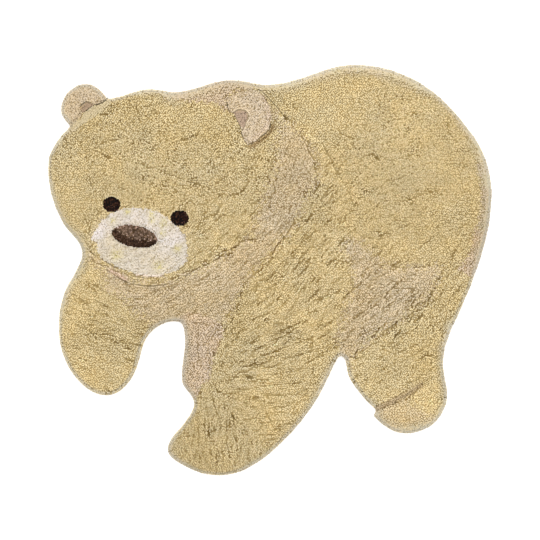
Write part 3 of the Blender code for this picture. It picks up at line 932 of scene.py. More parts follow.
def lattice(spacing, jitter):
    # places in offset rows over the rug's whole box
    rows, columns = np.arange(-580, 580, spacing * 0.866), np.arange(-620, 620, spacing)
    y, x = np.meshgrid(rows, columns, indexing="ij")
    x = x + (np.arange(len(rows)) % 2)[:, None] * spacing / 2
    points = np.stack([x, y], -1).reshape(-1, 2)
    return points + randoms.uniform(-1, 1, points.shape) * spacing * jitter


plantedFields = {
    "neckAndChest": "rose", "thirdLeg": "rose", "belly": "rose", "nape": "rose",
    "leftEar": "ears", "rightEar": "ears", "muzzle": "muzzle",
}
markGap = 4.5  # round a mark the tufts are planted as closely as in it


def loopPlanting(points):
    # the plantings that follow a drawn line, and "body" for all the rest
    names = np.full(len(points), "body", dtype=object)
    for field, name in plantedFields.items():
        names[depthInside(points, smoothLoop(fields[field][2])) > 0] = name
    return names


def evenPlanting(points, names):
    # the same once the even strip and the dark marks are set into the rest
    names[depthInside(points, smoothLoop(smoothStrip)) > 0] = "rim"
    for _, sizes in marks.values():
        names[depthInside(points, ellipse(*sizes)) > -markGap] = "marks"
    return names


def roughReach(points, step=10):
    # about how far each point is inside the edge, from a coarse grid
    rows, columns = np.arange(-590, 591, step), np.arange(-630, 631, step)
    grid = np.array([[ground.toEdge(x * mm, y * mm)[1] / mm for x in columns] for y in rows])
    row = np.clip(np.rint((points[:, 1] - rows[0]) / step).astype(int), 0, len(rows) - 1)
    column = np.clip(np.rint((points[:, 0] - columns[0]) / step).astype(int), 0, len(columns) - 1)
    return grid[row, column]


def measuredPlace(x, y, fromEdge, *more):
    # one tuft's row: place, height there, way out and how far the edge is, all in millimetres
    height = ground.height(x * mm, y * mm)
    out, reach = ground.toEdge(x * mm, y * mm)
    if height is None or reach < fromEdge * mm:
        return None
    return (x, y, height / mm, out.x, out.y, reach / mm, *more)


evenBorder = {  # where the rim's even planting takes over from the others
    "share": 0.8,  # of the rim's width
    "unsure": 10,  # how far the coarse grid may be wrong
    "outside": 8,
}


def planted():
    # a row for each tuft: its end's place, the height there, the way out, how far the edge is, its radius
    kept = []
    for name, (spacing, radius, jitter) in plantings.items():
        points = lattice(spacing, jitter)
        rough = roughReach(points)
        onRug = rough > -evenBorder["outside"]
        points, rough = points[onRug], rough[onRug]
        names = loopPlanting(points)
        border = evenBorder["share"] * rimAt(points)[0]
        names[rough < border + (evenBorder["unsure"] if name == "rim" else -evenBorder["unsure"])] = "rim"
        chosen = evenPlanting(points, names) == name
        measured = [measuredPlace(x, y, pile["edgeGap"], radius, wide)
                    for (x, y), wide in zip(points[chosen], border[chosen])]
        measured = np.array([row for row in measured if row])
        inBorder = measured[:, 5] < measured[:, 7]
        forced = evenPlanting(measured[:, :2], np.full(len(measured), "", dtype=object)) == name
        kept.append(measured[forced | (inBorder == (name == "rim"))][:, :7])
    standing = np.vstack(kept)
    standing = standing[rowLines.at(standing[:, :2]) < 0.5]
    inRows = []
    for x, y, deep in partedRows:
        row = measuredPlace(x, y, partedRow["fromEdge"], partedRow["radius"])
        if row:
            inRows.append(row)
            rowDepths.append(deep)
    return np.vstack([standing, inRows])


def openShare(spots, broken):
    # how far a broken line is open at each of its places, 0 to 1
    return np.clip(1 + 2 * smoothNoise(spots, 14, 41) * broken - broken, 0, 1)


def evenPlaces(line, step):
    # the same line with a place every step
    travelled = np.concatenate([[0], np.cumsum(np.linalg.norm(np.diff(line, axis=0), axis=1))])
    at = np.linspace(0, travelled[-1], max(2, int(travelled[-1] / step)))
    return np.stack([np.interp(at, travelled, line[:, 0]), np.interp(at, travelled, line[:, 1])], 1)


class LineMap:
    # lines drawn on a grid over the rug: as deep as they are in their middle, 0 away from them
    def __init__(self):
        self.reach = 650
        self.values = np.zeros((2 * self.reach, 2 * self.reach))  # one cell is a millimetre

    def draw(self, line, depth, halfWidth):
        span = int(2.5 * halfWidth) + 1
        offset = np.arange(-span, span + 1)
        for (x, y), deep in zip(line, depth):
            column, row = int(x + self.reach), int(y + self.reach)
            across, upward = column + offset - self.reach - x, row + offset - self.reach - y
            fall = np.exp(-(across[None, :] ** 2 + upward[:, None] ** 2) / halfWidth ** 2)
            patch = self.values[row - span:row + span + 1, column - span:column + span + 1]
            np.maximum(patch, deep * fall, out=patch)

    def cells(self, points):
        spots = np.rint(points + self.reach).astype(int)
        return tuple(np.clip(spots, 0, 2 * self.reach - 1).T[::-1])

    def at(self, points):
        return self.values[self.cells(points)]

    def slopeAt(self, points):
        upward, across = np.gradient(self.values)
        cells = self.cells(points)
        return np.stack([across[cells], upward[cells]], 1)


uncombed = [smoothLoop(fields[name][2]) for name in ("muzzle", "leftEar", "rightEar")]
faintlyCombed = [smoothLoop(fields[name][2]) for name in ("neckAndChest", "thirdLeg")]


def combedLines():
    # wavy lines that follow the combing, more of them where it is strong
    start = randoms.uniform((-600, -555), (600, 555), (combLines["tries"], 2))
    _, strength = combedAt(start)
    reach = np.array([ground.toEdge(x * mm, y * mm)[1] / mm for x, y in start])
    spot = start[(reach > combLines["fromEdge"]) & (randoms.random(len(start)) < strength ** 3)]
    way, _ = combedAt(spot)
    trails = [spot]
    for _ in range(combLines["most"]):
        ahead, _ = combedAt(spot)
        ahead *= np.sign((ahead * way).sum(1))[:, None]
        turn = combLines["turn"] * smoothNoise(spot, combLines["turnSize"], 61)
        way = np.stack([ahead[:, 0] * np.cos(turn) - ahead[:, 1] * np.sin(turn),
                        ahead[:, 0] * np.sin(turn) + ahead[:, 1] * np.cos(turn)], 1)
        spot = spot + way * combLines["step"]
        trails.append(spot)
    lengths = randoms.integers(combLines["fewest"], combLines["most"], len(spot))
    made = []
    for trail, length in zip(np.swapaxes(trails, 0, 1), lengths):
        line = np.array(trail)[:length]
        if not any((depthInside(line, loop) > -6).any() for loop in uncombed):
            faint = any((depthInside(line, loop) > 0).mean() > 0.5 for loop in faintlyCombed)
            depth = randoms.uniform(*combLines["depths"]) * (combLines["faintShare"] if faint else 1)
            made.append((depth, combLines["halfWidth"], line))
    return made


rowLines, softLines, paleLines = LineMap(), LineMap(), LineMap()
partedRows, rowDepths = [], []  # the tufts that stand in the partings: place and how far sunk
drawn = [(partedRow["depthShare"] * depth, halfWidth, smoothLine(places))
         for depth, halfWidth, places in partings]
drawn += combedLines()
for depth, halfWidth, line in drawn:
    spots = evenPlaces(line, partedRow["step"])
    taper = np.sin(np.linspace(0.25, np.pi - 0.25, len(spots))) ** 0.5  # shallower towards both ends
    taper = depth * taper * openShare(spots, partedRow["broken"])
    softLines.draw(spots, taper, partedRow["slopeWidth"] * halfWidth)
    deepEnough = taper > partedRow["leastDepth"]
    rowLines.draw(spots[deepEnough], np.ones(deepEnough.sum()), partedRow["clearWidth"])
    every = partedRow["tuftEvery"]
    row = np.column_stack([spots, taper])[::every][deepEnough[::every]]
    row[:, :2] += randoms.normal(0, partedRow["jitter"], (len(row), 2))
    partedRows.extend(row)
for light, halfWidth, places in paleStrokes:
    spots = evenPlaces(smoothLine(places), 2.0)
    paleLines.draw(spots, np.full(len(spots), light), halfWidth)
print("partings drawn:", len(drawn))

tufts = planted()
ends, tops, outward, toEdge, radii = tufts[:, :2].copy(), tufts[:, 2], tufts[:, 3:5], tufts[:, 5], tufts[:, 6]
ends -= partedRow["push"] * softLines.slopeAt(ends)
for _, _, halfWidth, broken, places in grooves:  # tufts stand back on both sides of a groove
    spot, gap = nearestOnLine(ends, smoothLine(places))
    clear = (halfWidth + radii * 0.72) * (0.5 + 0.5 * openShare(spot, broken))
    near = gap < clear
    aside = (ends[near] - spot[near]) / np.maximum(gap[near], 0.05)[:, None]
    ends[near] = spot[near] + aside * clear[near, None]
sunk = np.concatenate([np.zeros(len(tufts) - len(rowDepths)), rowDepths])
print("tufts planted:", len(tufts), "of them in the partings:", len(rowDepths))


def yarnOfTufts():
    # the yarn of each tuft, by the fields it lies in, with speckled edges
    names = np.full(len(ends), "golden", dtype=object)
    stray = randoms.uniform(-1, 1, len(ends))
    for yarn, blend, places in fields.values():
        names[depthInside(ends, smoothLoop(places)) + stray * blend > 0] = yarn
    for yarn, sizes in marks.values():
        names[depthInside(ends, ellipse(*sizes)) > 0] = yarn
    ridge = smoothLine(noseRidge)
    inNose = depthInside(ends, ellipse(*marks["nose"][1])) > 0
    above = ends[:, 1] + 3 * stray > np.interp(ends[:, 0], ridge[:, 0], ridge[:, 1])
    names[inNose & above] = "greyBrown"
    return names


yarnNames = yarnOfTufts()
inPatch = np.zeros(len(ends), bool)  # in the inner ears, which are tufted apart
for corners in innerEars.values():
    inPatch |= depthInside(ends, np.array(corners, float)) > -0.7 * radii
direction, strength = combedAt(ends)
edgeShare = np.clip(1 - toEdge / pile["edgeWidth"], 0, 1)
rimWidth, rimShare, rimPaintedLight = rimAt(ends)
tone, toneSpecks = toneAt(ends)
rimWidth *= pile["rimBreadth"] + pile["rimWaver"] * smoothNoise(ends, 30, 31)
smooth = np.clip(1.15 - (toEdge - 4) / rimWidth, 0, 1) ** 0.8  # how evenly sheared, 1 at the edge
smooth = np.maximum(smooth, np.clip(depthInside(ends, smoothLoop(smoothStrip)) / 3 + 0.5, 0, 1))
strength = strength * (1 - smooth)
streak = drawnOutNoise(ends, direction, pile["streakReach"] * strength, pile["streakWidth"], 3)
print("yarn and combing worked out")

parted = np.clip(softLines.at(ends), 0, 1)
lean = direction * (strength * pile["lean"])[:, None]
lean += np.stack([smoothNoise(ends, 40, 11), smoothNoise(ends, 40, 17)], 1) * pile["leanDrift"]
lean += np.stack([smoothNoise(ends, 9, 12), smoothNoise(ends, 9, 18)], 1) * pile["leanWaver"]
lean += randoms.normal(0, 1, ends.shape) * pile["wander"]
lean = lean * (1 - smooth)[:, None] + outward * (edgeShare * pile["edgeLean"])[:, None]

length = pile["length"] + randoms.normal(0, 1, len(ends)) * pile["lengthSpread"] * (1 - smooth)
tipHeight = tops + randoms.normal(0, pile["tipSpread"], len(ends)) * (1 - 0.8 * smooth)
tipHeight = tipHeight - pile["slopeDepth"] * parted - pile["rowDepth"] * sunk
tipHeight -= pile["streakDepth"] * strength * np.clip(-streak - 0.5, 0, 1.6)
shown = ~inPatch & (tipHeight > pile["lowest"])


def mixed(first, second, share):
    # colours of the tufts blended towards a second colour, by a share for each tuft
    return first * (1 - share[:, None]) + np.array(second) * share[:, None]


def colourOfTufts():
    # the colour of each tuft's end, but for its specks and the shade of the partings
    count = len(ends)
    base = np.array([yarns[n][0] for n in yarnNames])
    spread = np.array([yarns[n][1] for n in yarnNames])
    isRose = np.isin(yarnNames, ["rose", "dustyRose"])
    isPale = np.isin(yarnNames, ["white", "cream"])
    isFace = isPale | np.isin(yarnNames, ["darkBrown", "noseBrown", "greyBrown"])
    shade = np.exp(randoms.normal(0, 0.5, count) * spread - spread ** 2 / 8)
    shade *= 1 + shades["broad"] * smoothNoise(ends, 60, 5) + shades["patchy"] * smoothNoise(ends, 20, 6)
    streaked = np.where(isRose, shades["streakedRose"], shades["streaked"])
    shade *= 1 + streaked * strength * np.clip(streak, -2, 2) + shades["pale"] * paleLines.at(ends)
    shade *= np.where(isRose | (yarnNames == "golden"), 1 + shades["unshorn"] * (1 - smooth), 1)

    # slow and quick changes towards a warmer yarn, more of it where it is darker
    slow, quick, single = shades["warmth"]
    warm = slow * smoothNoise(ends, 70, 8) + quick * smoothNoise(ends, 24, 9)
    warm += single * randoms.normal(0, 1, count)
    warm += shades["warmerDark"] * (1 - shade)
    colour = base * (shade * np.where(isFace, shades["muzzle"], shades["golden"] * tone))[:, None]
    colour[:, 0] *= 1 + warm * 0.35
    colour[:, 2] *= 1 - warm

    # the sheared rim is paler, here and there pinker
    share = smooth * rimShare * (1 + shades["rimNoise"] * smoothNoise(ends, 40, 21))
    share = np.clip(share * randoms.uniform(*shades["rimShares"], count), 0, 1)
    share[isFace] = 0
    pink = shades["pink"] + shades["pinkSpread"] * smoothNoise(ends, 30, 22)
    pale = mixed(np.array(rimColours[0]), rimColours[1], pink)
    # the rim's paleness is scaled by its painted light, lighter on the upper edges and darker on the lower
    # ones
    colour = mixed(colour, pale * rimPaintedLight[:, None] ** 2.2, share)

    # nearest the edge the yarn is painted greyer, as painted light from the bright floor
    floorLitShare = shades["floorLitGrey"] * np.clip(1 - (toEdge - 3) / shades["floorLitGreyWidth"], 0, 1)
    grey = (colour @ np.array([0.3, 0.6, 0.1]))[:, None] * np.array([1.0, 0.985, 0.93])
    colour = mixed(colour, grey, floorLitShare)

    for x, y, radius in flecks:
        gap = np.hypot(ends[:, 0] - x, ends[:, 1] - y)
        weight = shades["fleck"] * np.exp(-(gap / radius) ** 2) * isPale
        weight = np.minimum(weight * randoms.uniform(*shades["fleckShares"], count), 1)
        colour = mixed(colour, fleckColour, weight)
    return colour


colours = colourOfTufts()
speckle = toneSpecks * (1 - shades["smoothSpecks"] * smooth)  # how strongly the light and dark specks show
speckle *= [specksOfYarn.get(name, 1) for name in yarnNames]
for _, tint, halfWidth, share, places in bands:
    weight = share * np.exp(-(nearestOnLine(ends, smoothLine(places))[1] / halfWidth) ** 2)
    colours = mixed(colours, tint, weight)
    speckle *= 1 - shades["bandSpecks"] * weight


def specksOfTufts():
    # single ends lighter or darker than their neighbours, drawn out along the combing; the dark specks are
    # partly a darker tone of single ends and partly painted shade of the deep gaps between ends
    drawnOut = drawnOutNoise(ends, direction, shades["grainReach"] * strength, shades["grainSize"], 51)
    drawnOut = withoutSlow(ends, drawnOut, 7.0)
    single = withoutSlow(ends, randoms.normal(0, 1, len(ends)), 3.4)
    alongShare, singleShare = 0.15 + 0.9 * strength, 0.95 - 0.7 * strength
    grain = (alongShare * drawnOut + singleShare * single) / np.hypot(alongShare, singleShare)
    gathered = 1 + shades["cluster"] * smoothNoise(ends, shades["clusterSize"], 71)
    dark = gathered * (np.clip(-grain - shades["darkFrom"], 0, 2) - shades["darkMean"])
    change = 1 + shades["lightGrain"] * np.clip(grain, 0, 1.6) - shades["darkGrain"] * dark
    return 1 + (change - 1) * speckle


shade = specksOfTufts()
# painted light and shade beside the partings: the ridges lighter, the side facing away from the light darker
besides = 1 + shades["ridge"] * softLines.at(ends) + shades["slope"] * softLines.slopeAt(ends)[:, 1]
# the sunk tufts in the partings are painted darker: painted shade in the gap
deep = sunk ** 0.6 * randoms.uniform(0.6, 1.1, len(ends))
shade = np.where(sunk > 0, 1 - shades["parted"] * deep, shade * besides)
shade = np.clip(shade, shades["darkest"], 2)
colours = np.clip(colours * shade[:, None] ** np.array(shades["browning"]), 0.01, 0.95)
print("colours chosen")


# one tuft, and meshes that hold many of them
tuftForms = {
    "single": {"sides": 4, "rings": ((0.0, 0.8), (0.71, 0.92))},
    "edge": {"sides": 4, "rings": ((0.0, 0.8), (0.7, 0.95), (0.9, 0.62))},
}


def oneTuft(form):
    # a pointed cone cut into rings, each then set to its own radius
    bm = bmesh.new()
    bmesh.ops.create_cone(bm, cap_ends=True, cap_tris=False, segments=form["sides"], radius1=1, radius2=0.0,
                          depth=1, matrix=Matrix.Translation((0, 0, 0.5)))
    bmesh.ops.remove_doubles(bm, verts=bm.verts, dist=1e-5)
    for height, _ in form["rings"][1:]:
        bmesh.ops.bisect_plane(bm, geom=bm.verts[:] + bm.edges[:] + bm.faces[:], plane_co=(0, 0, height),
                               plane_no=(0, 0, 1))
    bmesh.ops.triangulate(bm, faces=bm.faces)
    bmesh.ops.recalc_face_normals(bm, faces=bm.faces)
    spots = np.array([v.co for v in bm.verts])
    faces = np.array([[v.index for v in f.verts] for f in bm.faces])
    capFace = np.array([all(abs(v.co.z) < 1e-4 for v in f.verts) for f in bm.faces])
    bm.free()
    height = spots[:, 2]
    angle = np.arctan2(spots[:, 1], spots[:, 0])
    radius = np.zeros(len(spots))
    for ring, size in form["rings"]:
        radius[np.abs(height - ring) < 1e-3] = size
    return {"angle": angle, "height": height, "radius": radius, "faces": faces, "cap": capFace}


def tuftMesh(name, roots, rise, lean, radius, colour, form, speckle, heading, combed):
    # every tuft of one piece in one mesh, bent from its root and narrowed to its end
    count, corners = len(roots), len(form["angle"])
    t, r = form["height"][None, :], form["radius"][None, :] * radius[:, None]
    turn = form["angle"][None, :] + randoms.uniform(0, 2 * np.pi, count)[:, None]
    size = np.linalg.norm(lean, axis=1)
    way = np.where(size[:, None] > 1e-6, lean / np.maximum(size, 1e-6)[:, None], (1.0, 0.0))
    slope = np.arctan2(2 * size[:, None] * t, rise[:, None])
    fromCombed = turn + np.arctan2(way[:, 1], way[:, 0])[:, None] - heading[:, None]
    stretch = 1 + pile["stretch"] * combed[:, None] * np.cos(2 * fromCombed)
    sideways, across = np.cos(turn) * r * stretch, np.sin(turn) * r * stretch
    level = sideways * np.cos(slope)
    spots = np.empty((count, corners, 3))
    spots[..., 0] = roots[:, :1] + lean[:, :1] * t ** 2 + way[:, :1] * level - way[:, 1:] * across
    spots[..., 1] = roots[:, 1:2] + lean[:, 1:] * t ** 2 + way[:, 1:] * level + way[:, :1] * across
    spots[..., 2] = roots[:, 2:] + rise[:, None] * t - sideways * np.sin(slope)
    spots[..., 2] = np.maximum(spots[..., 2], pile["aboveFloor"])
    faces = (form["faces"][None] + (np.arange(count) * corners)[:, None, None]).reshape(-1, 3)

    mesh = bpy.data.meshes.new(name)
    mesh.vertices.add(count * corners)
    mesh.vertices.foreach_set("co", (spots * mm).astype(np.float32).ravel())
    mesh.loops.add(faces.size)
    mesh.loops.foreach_set("vertex_index", faces.ravel().astype(np.int32))
    mesh.polygons.add(len(faces))
    mesh.polygons.foreach_set("loop_start", np.arange(0, faces.size, 3, dtype=np.int32))
    mesh.update(calc_edges=True)
    mesh.shade_smooth()

    rgba = np.empty((count, corners, 4), np.float32)
    rgba[..., :3] = colour[:, None]
    rgba[..., 3] = speckle[:, None]
    mesh.attributes.new("yarn", "FLOAT_COLOR", "POINT").data.foreach_set("color", rgba.ravel())
    along = mesh.attributes.new("along", "FLOAT", "POINT")
    along.data.foreach_set("value", np.tile(form["height"], count).astype(np.float32))

    # where each corner lies among the strands of its tuft, which run along the combed way
    c, s = np.cos(heading)[:, None], np.sin(heading)[:, None]
    dx, dy = spots[..., 0] - roots[:, :1], spots[..., 1] - roots[:, 1:2]
    strand = np.empty((count, corners, 3), np.float32)
    strand[..., 0] = (dx * c + dy * s) / (pile["strandLength"] * (1 + 2 * combed[:, None]))
    strand[..., 1] = (dy * c - dx * s) / pile["strandWidth"]
    strand[..., 2] = spots[..., 2] / pile["strandHeight"]
    strand += randoms.uniform(-50, 50, (count, 1, 3))
    mesh.attributes.new("strand", "FLOAT_VECTOR", "POINT").data.foreach_set("vector", strand.ravel())

    # its map: a small disc for each tuft, the end in the middle and the root outside
    side = int(np.ceil(np.sqrt(count)))
    cell = np.stack([np.arange(count) % side, np.arange(count) // side], 1)
    reach = 0.44 * (1 - form["height"])
    disc = np.stack([np.cos(form["angle"]), np.sin(form["angle"])], 1) * reach[:, None] + 0.5
    flat = disc[form["faces"]]
    flat[form["cap"]] = disc[form["faces"][form["cap"]]] * 0.04 + 0.01
    uv = (cell[:, None, None] + flat[None]) / side
    mesh.uv_layers.new(name="OFBake").data.foreach_set("uv", uv.astype(np.float32).ravel())
    return mesh


singleTuft, edgeTuft = oneTuft(tuftForms["single"]), oneTuft(tuftForms["edge"])


# materials
yarnLook = {
    "fineScale": 1500.0,
    "broadScale": 260.0,
    "fine": 0.12,  # how much light the fine noise of the fibres brings
    "broad": 0.08,
    "strandFrom": 0.42,  # between the strands the noise is lower than this
    "strandEdge": 7.0,  # how sharply they end
    "strandShade": 0.36,
    "rough": 0.82,
    "bump": 0.35,
    "bumpDepth": 0.001,
}


def yarnFinish(name, rootShade, sheen, shine=0.25):
    # the colour comes from the tufts; towards the root the yarn is painted darker, as painted shade deep
    # between the tufts, and it shows its strands
    finish = Finish(name, Metallic=0.0, Sheen_Weight=sheen, Sheen_Roughness=0.5, Specular_IOR_Level=shine)
    yarn = finish.node("ShaderNodeAttribute", {"attribute_name": "yarn"})
    along = finish.node("ShaderNodeAttribute", {"attribute_name": "along"}, output=2)
    place = finish.node("ShaderNodeTexCoord", output=3)
    fibres = finish.node("ShaderNodeMapping", Vector=place, Scale=(1, 1, 0.3))
    fine = finish.node("ShaderNodeTexNoise", Vector=fibres, Scale=yarnLook["fineScale"], Detail=2.0)
    broad = finish.node("ShaderNodeTexNoise", Vector=place, Scale=yarnLook["broadScale"], Detail=1.0)
    root = (rootShade, rootShade * 0.91, rootShade * 0.72, 1)
    middle = (0.5 + rootShade / 2, 0.47 + rootShade / 2, 0.4 + rootShade / 2, 1)
    stops = [(0.3, root), (0.72, middle), (0.95, (1, 1, 1, 1))]
    depth = finish.node("ShaderNodeValToRGB", {"stops": stops}, Fac=along)
    shaded = finish.blended(1.0, yarn, depth, "MULTIPLY")
    strand = finish.node("ShaderNodeAttribute", {"attribute_name": "strand"}, output=1)
    speckle = finish.node("ShaderNodeAttribute", {"attribute_name": "yarn"}, output=3)
    strands = finish.node("ShaderNodeTexNoise", Vector=strand, Scale=1.0, Detail=1.0)
    shadow = ((yarnLook["strandFrom"] - strands) * yarnLook["strandEdge"]).within() * speckle
    light = 0.9 + yarnLook["fine"] * fine + yarnLook["broad"] * broad
    grain = light * (1 - yarnLook["strandShade"] * shadow)
    toned = finish.node("ShaderNodeVectorMath", {"operation": "SCALE"}, _0=shaded, Scale=grain)
    finish.feeds(toned, "Base Color")
    finish.feeds(yarnLook["rough"] + 0.16 * fine, "Roughness")
    bump = finish.node("ShaderNodeBump", Strength=yarnLook["bump"], Distance=yarnLook["bumpDepth"],
                       Height=strands + 0.3 * fine)
    finish.feeds(bump, "Normal")
    return finish.material


goldenYarn = yarnFinish("golden cotton yarn", 0.52, 0.15)
roseYarn = yarnFinish("rose beige cotton yarn", 0.55, 0.15)
paleYarn = yarnFinish("pale cotton yarn", 0.92, 0.15)
brownYarn = yarnFinish("brown cotton yarn", 0.4, 0.0, 0.06)
mauveYarn = yarnFinish("mauve cotton yarn", 0.7, 0.05)


# the pile's pieces
goldenPlaces = {  # each golden tuft goes to the piece whose middle is nearest
    "headPile": (-400, 300), "cheekPile": (-150, 230), "farLegPile": (-450, -180), "shoulderPile": (130, 100),
    "nearLegPile": (-30, -330), "backPile": (200, 430), "rumpPile": (450, 230), "hindLegPile": (420, -260),
}
otherPlaces = {  # the yarns of each other piece, its material and slot
    "rosePile": (["rose", "dustyRose", "ear", "paleGolden"], roseYarn, "rose_pile"),
    "palePile": (["cream", "white"], paleYarn, "pale_pile"),
    "brownPile": (["darkBrown", "noseBrown", "greyBrown"], brownYarn, "brown_pile"),
}
heading = np.arctan2(direction[:, 1], direction[:, 0]) + randoms.normal(0, pile["headingSpread"], len(ends))


def placed(name, mesh, material):
    # an object of that mesh, riding on the rug's body
    mesh.materials.append(material)
    piece = bpy.data.objects.new(name, mesh)
    bpy.context.scene.collection.objects.link(piece)
    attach(piece, "root")
    return piece


def addPile(name, mesh, material):
    placed(name, mesh, material)
    print(name, "has", len(mesh.polygons), "faces")


def pilePiece(name, chosen, material):
    footHeight = np.maximum(tipHeight - length, pile["lowestRoot"])[chosen]
    roots = np.column_stack([ends[chosen] - pile["rootBack"] * lean[chosen], footHeight])
    rise = np.maximum(tipHeight[chosen] - roots[:, 2], pile["leastRise"])
    spread = pile["radiusSpread"] * (1 - smooth[chosen])
    size = radii[chosen] * (1 + randoms.normal(0, 1, chosen.sum()) * spread)
    mesh = tuftMesh(name, roots, rise, lean[chosen], size, colours[chosen], singleTuft, speckle[chosen],
                    heading[chosen], strength[chosen])
    addPile(name, mesh, material)


middles = np.array(list(goldenPlaces.values()), float)
nearest = np.argmin(np.linalg.norm(ends[:, None] - middles, axis=2), axis=1)
for i, name in enumerate(goldenPlaces):
    pilePiece(name, shown & (yarnNames == "golden") & (nearest == i), goldenYarn)
for name, (yarnList, material, slot) in otherPlaces.items():
    pilePiece(name, shown & np.isin(yarnNames, yarnList), material)


# the rows of tufts that hang over the cut edge
edgeRows = {
    "spacing": 2.3,
    "radius": 1.9,
    "radiusSpread": 0.08,
    "jitter": 0.2,  # along the edge, as a share of the spacing
    "reachSpread": 0.18,
    "rootSpread": 0.25,
    "endSpread": 0.2,
    "lightSpread": 0.15,
    "patches": 0.12,
    "underShade": (0.9, 0.84, 0.7),  # of the two lower rows
    "specks": 0.2,
    "rows": (  # how far inside the foot, height there, height of the ends, how far these reach out
        (6.2, 9.6, 10.4, 1.6),
        (6.0, 6.0, 6.8, 2.6),
        (5.6, 2.6, 3.2, 2.6),
    ),
}


def edgeLoop():
    # the places along the solid's foot, in order and turning left
    merged, floorEdges = readSolid()
    foot = {}
    for e in floorEdges:
        a, b = e.verts
        foot.setdefault(a, []).append(b)
        foot.setdefault(b, []).append(a)
    start = floorEdges[0].verts[0]
    loop, last, here = [start], None, start
    while True:
        following = [v for v in foot[here] if v is not last][0]
        if following is start:
            break
        loop.append(following)
        last, here = here, following
    places = np.array([(v.co.x, v.co.y) for v in loop]) / mm
    merged.free()
    area = 0.5 * np.sum(places[:, 0] * np.roll(places[:, 1], -1) - np.roll(places[:, 0], -1) * places[:, 1])
    return places if area > 0 else places[::-1]


footLoop = edgeLoop()
nearTuft = KDTree(len(ends))
for i, (x, y) in enumerate(ends):
    nearTuft.insert((x, y, 0), i)
nearTuft.balance()


def edgePile():
    # rows of tufts that start inside the foot and lean outwards, with the colour of the nearest tuft
    closed = np.vstack([footLoop, footLoop[:1]])
    stretch = np.linalg.norm(np.diff(closed, axis=0), axis=1)
    travelled = np.concatenate([[0], np.cumsum(stretch)])
    roots, rises, leans, own = [], [], [], []
    for inset, low, high, over in edgeRows["rows"]:
        count = int(travelled[-1] / edgeRows["spacing"])
        jitter = randoms.uniform(-edgeRows["jitter"], edgeRows["jitter"], count)
        at = (np.arange(count) + jitter) * travelled[-1] / count
        at %= travelled[-1]
        x, y = np.interp(at, travelled, closed[:, 0]), np.interp(at, travelled, closed[:, 1])
        ahead = (at + 3) % travelled[-1]
        dx = np.interp(ahead, travelled, closed[:, 0]) - x
        dy = np.interp(ahead, travelled, closed[:, 1]) - y
        out = np.stack([dy, -dx], 1) / np.maximum(np.hypot(dx, dy), 1e-6)[:, None]
        reach = inset + over + randoms.normal(0, edgeRows["reachSpread"], count)
        foot = np.stack([x, y], 1) - out * inset
        roots.append(np.column_stack([foot, low + randoms.normal(0, edgeRows["rootSpread"], count)]))
        rises.append(np.maximum(high - low + randoms.normal(0, edgeRows["endSpread"], count), 0.3))
        leans.append(out * reach[:, None] + randoms.normal(0, edgeRows["endSpread"], (count, 2)))
        beside = np.array([nearTuft.find((px, py, 0))[1] for px, py in foot])
        # painted shade on the two lower rows, under the top one; painted light and shade by facing, lighter
        # towards the top where the light comes from and darker facing down; the patches and single ends
        # differ at random
        shade = np.array(edgeRows["underShade"] if low < edgeRows["rows"][0][1] else (1, 1, 1))
        shade = shade * (0.97 + 0.08 * out[:, 1] + edgeRows["patches"] * smoothNoise(foot, 5, 81))[:, None]
        shade = shade * np.exp(randoms.normal(0, edgeRows["lightSpread"], count))[:, None]
        own.append(colours[beside] * shade)
    roots, leans, own = np.vstack(roots), np.vstack(leans), np.clip(np.vstack(own), 0.01, 0.95)
    rises = np.concatenate(rises)
    count = len(roots)
    size = edgeRows["radius"] * (1 + randoms.normal(0, 1, count) * edgeRows["radiusSpread"])
    way = np.arctan2(leans[:, 1], leans[:, 0])
    mesh = tuftMesh("edgePile", roots, rises, leans, size, own, edgeTuft, np.full(count, edgeRows["specks"]),
                    way, np.ones(count))
    addPile("edgePile", mesh, goldenYarn)


edgePile()


# the floor of the cut lines: small tufts in the shade
grooveFloor = {
    "spacing": 2.3,
    "radius": 1.5,
    "usualWidth": 1.6,  # of a line whose tufts have that radius
    "below": 2.6,  # the pile beside it
    "length": 4.5,
    "open": 0.35,  # a broken line is left out where it is less open
}


def groovePile():
    spots, shades, widths = [], [], []
    for _, shade, halfWidth, broken, places in grooves:
        line = evenPlaces(smoothLine(places), grooveFloor["spacing"])
        line = line[openShare(line, broken) > grooveFloor["open"]]
        spots.append(line)
        shades.append(np.full(len(line), shade))
        widths.append(np.full(len(line), halfWidth))
    spots, shades, widths = np.vstack(spots), np.concatenate(shades), np.concatenate(widths)
    beside = [nearTuft.find((x, y, 0))[1] for x, y in spots]
    top = np.maximum(tops[beside], 8) - grooveFloor["below"]
    roots = np.column_stack([spots, np.maximum(top - grooveFloor["length"], 1.5)])
    rise = np.maximum(top - roots[:, 2], 1.5)
    own = colours[beside] * shades[:, None] * (1 + 0.1 * randoms.normal(0, 1, len(spots)))[:, None]
    size = grooveFloor["radius"] * widths / grooveFloor["usualWidth"]
    still = np.zeros(len(spots))
    mesh = tuftMesh("groovePile", roots, rise, randoms.normal(0, 0.3, spots.shape), size, own, edgeTuft,
                    still, still, still)
    addPile("groovePile", mesh, goldenYarn)


groovePile()


# the low-cut inner ears: short, dense, even tufts
lowCut = {
    "spacing": 3.0,
    "radius": 2.1,
    "radiusSpread": 0.1,
    "length": 4.0,
    "height": 11.5,
    "past": 1.5,  # how far it grows past its drawn line
    "leftShade": (0.88, 0.86, 0.78),  # the left one lies in the shade of its edge
}


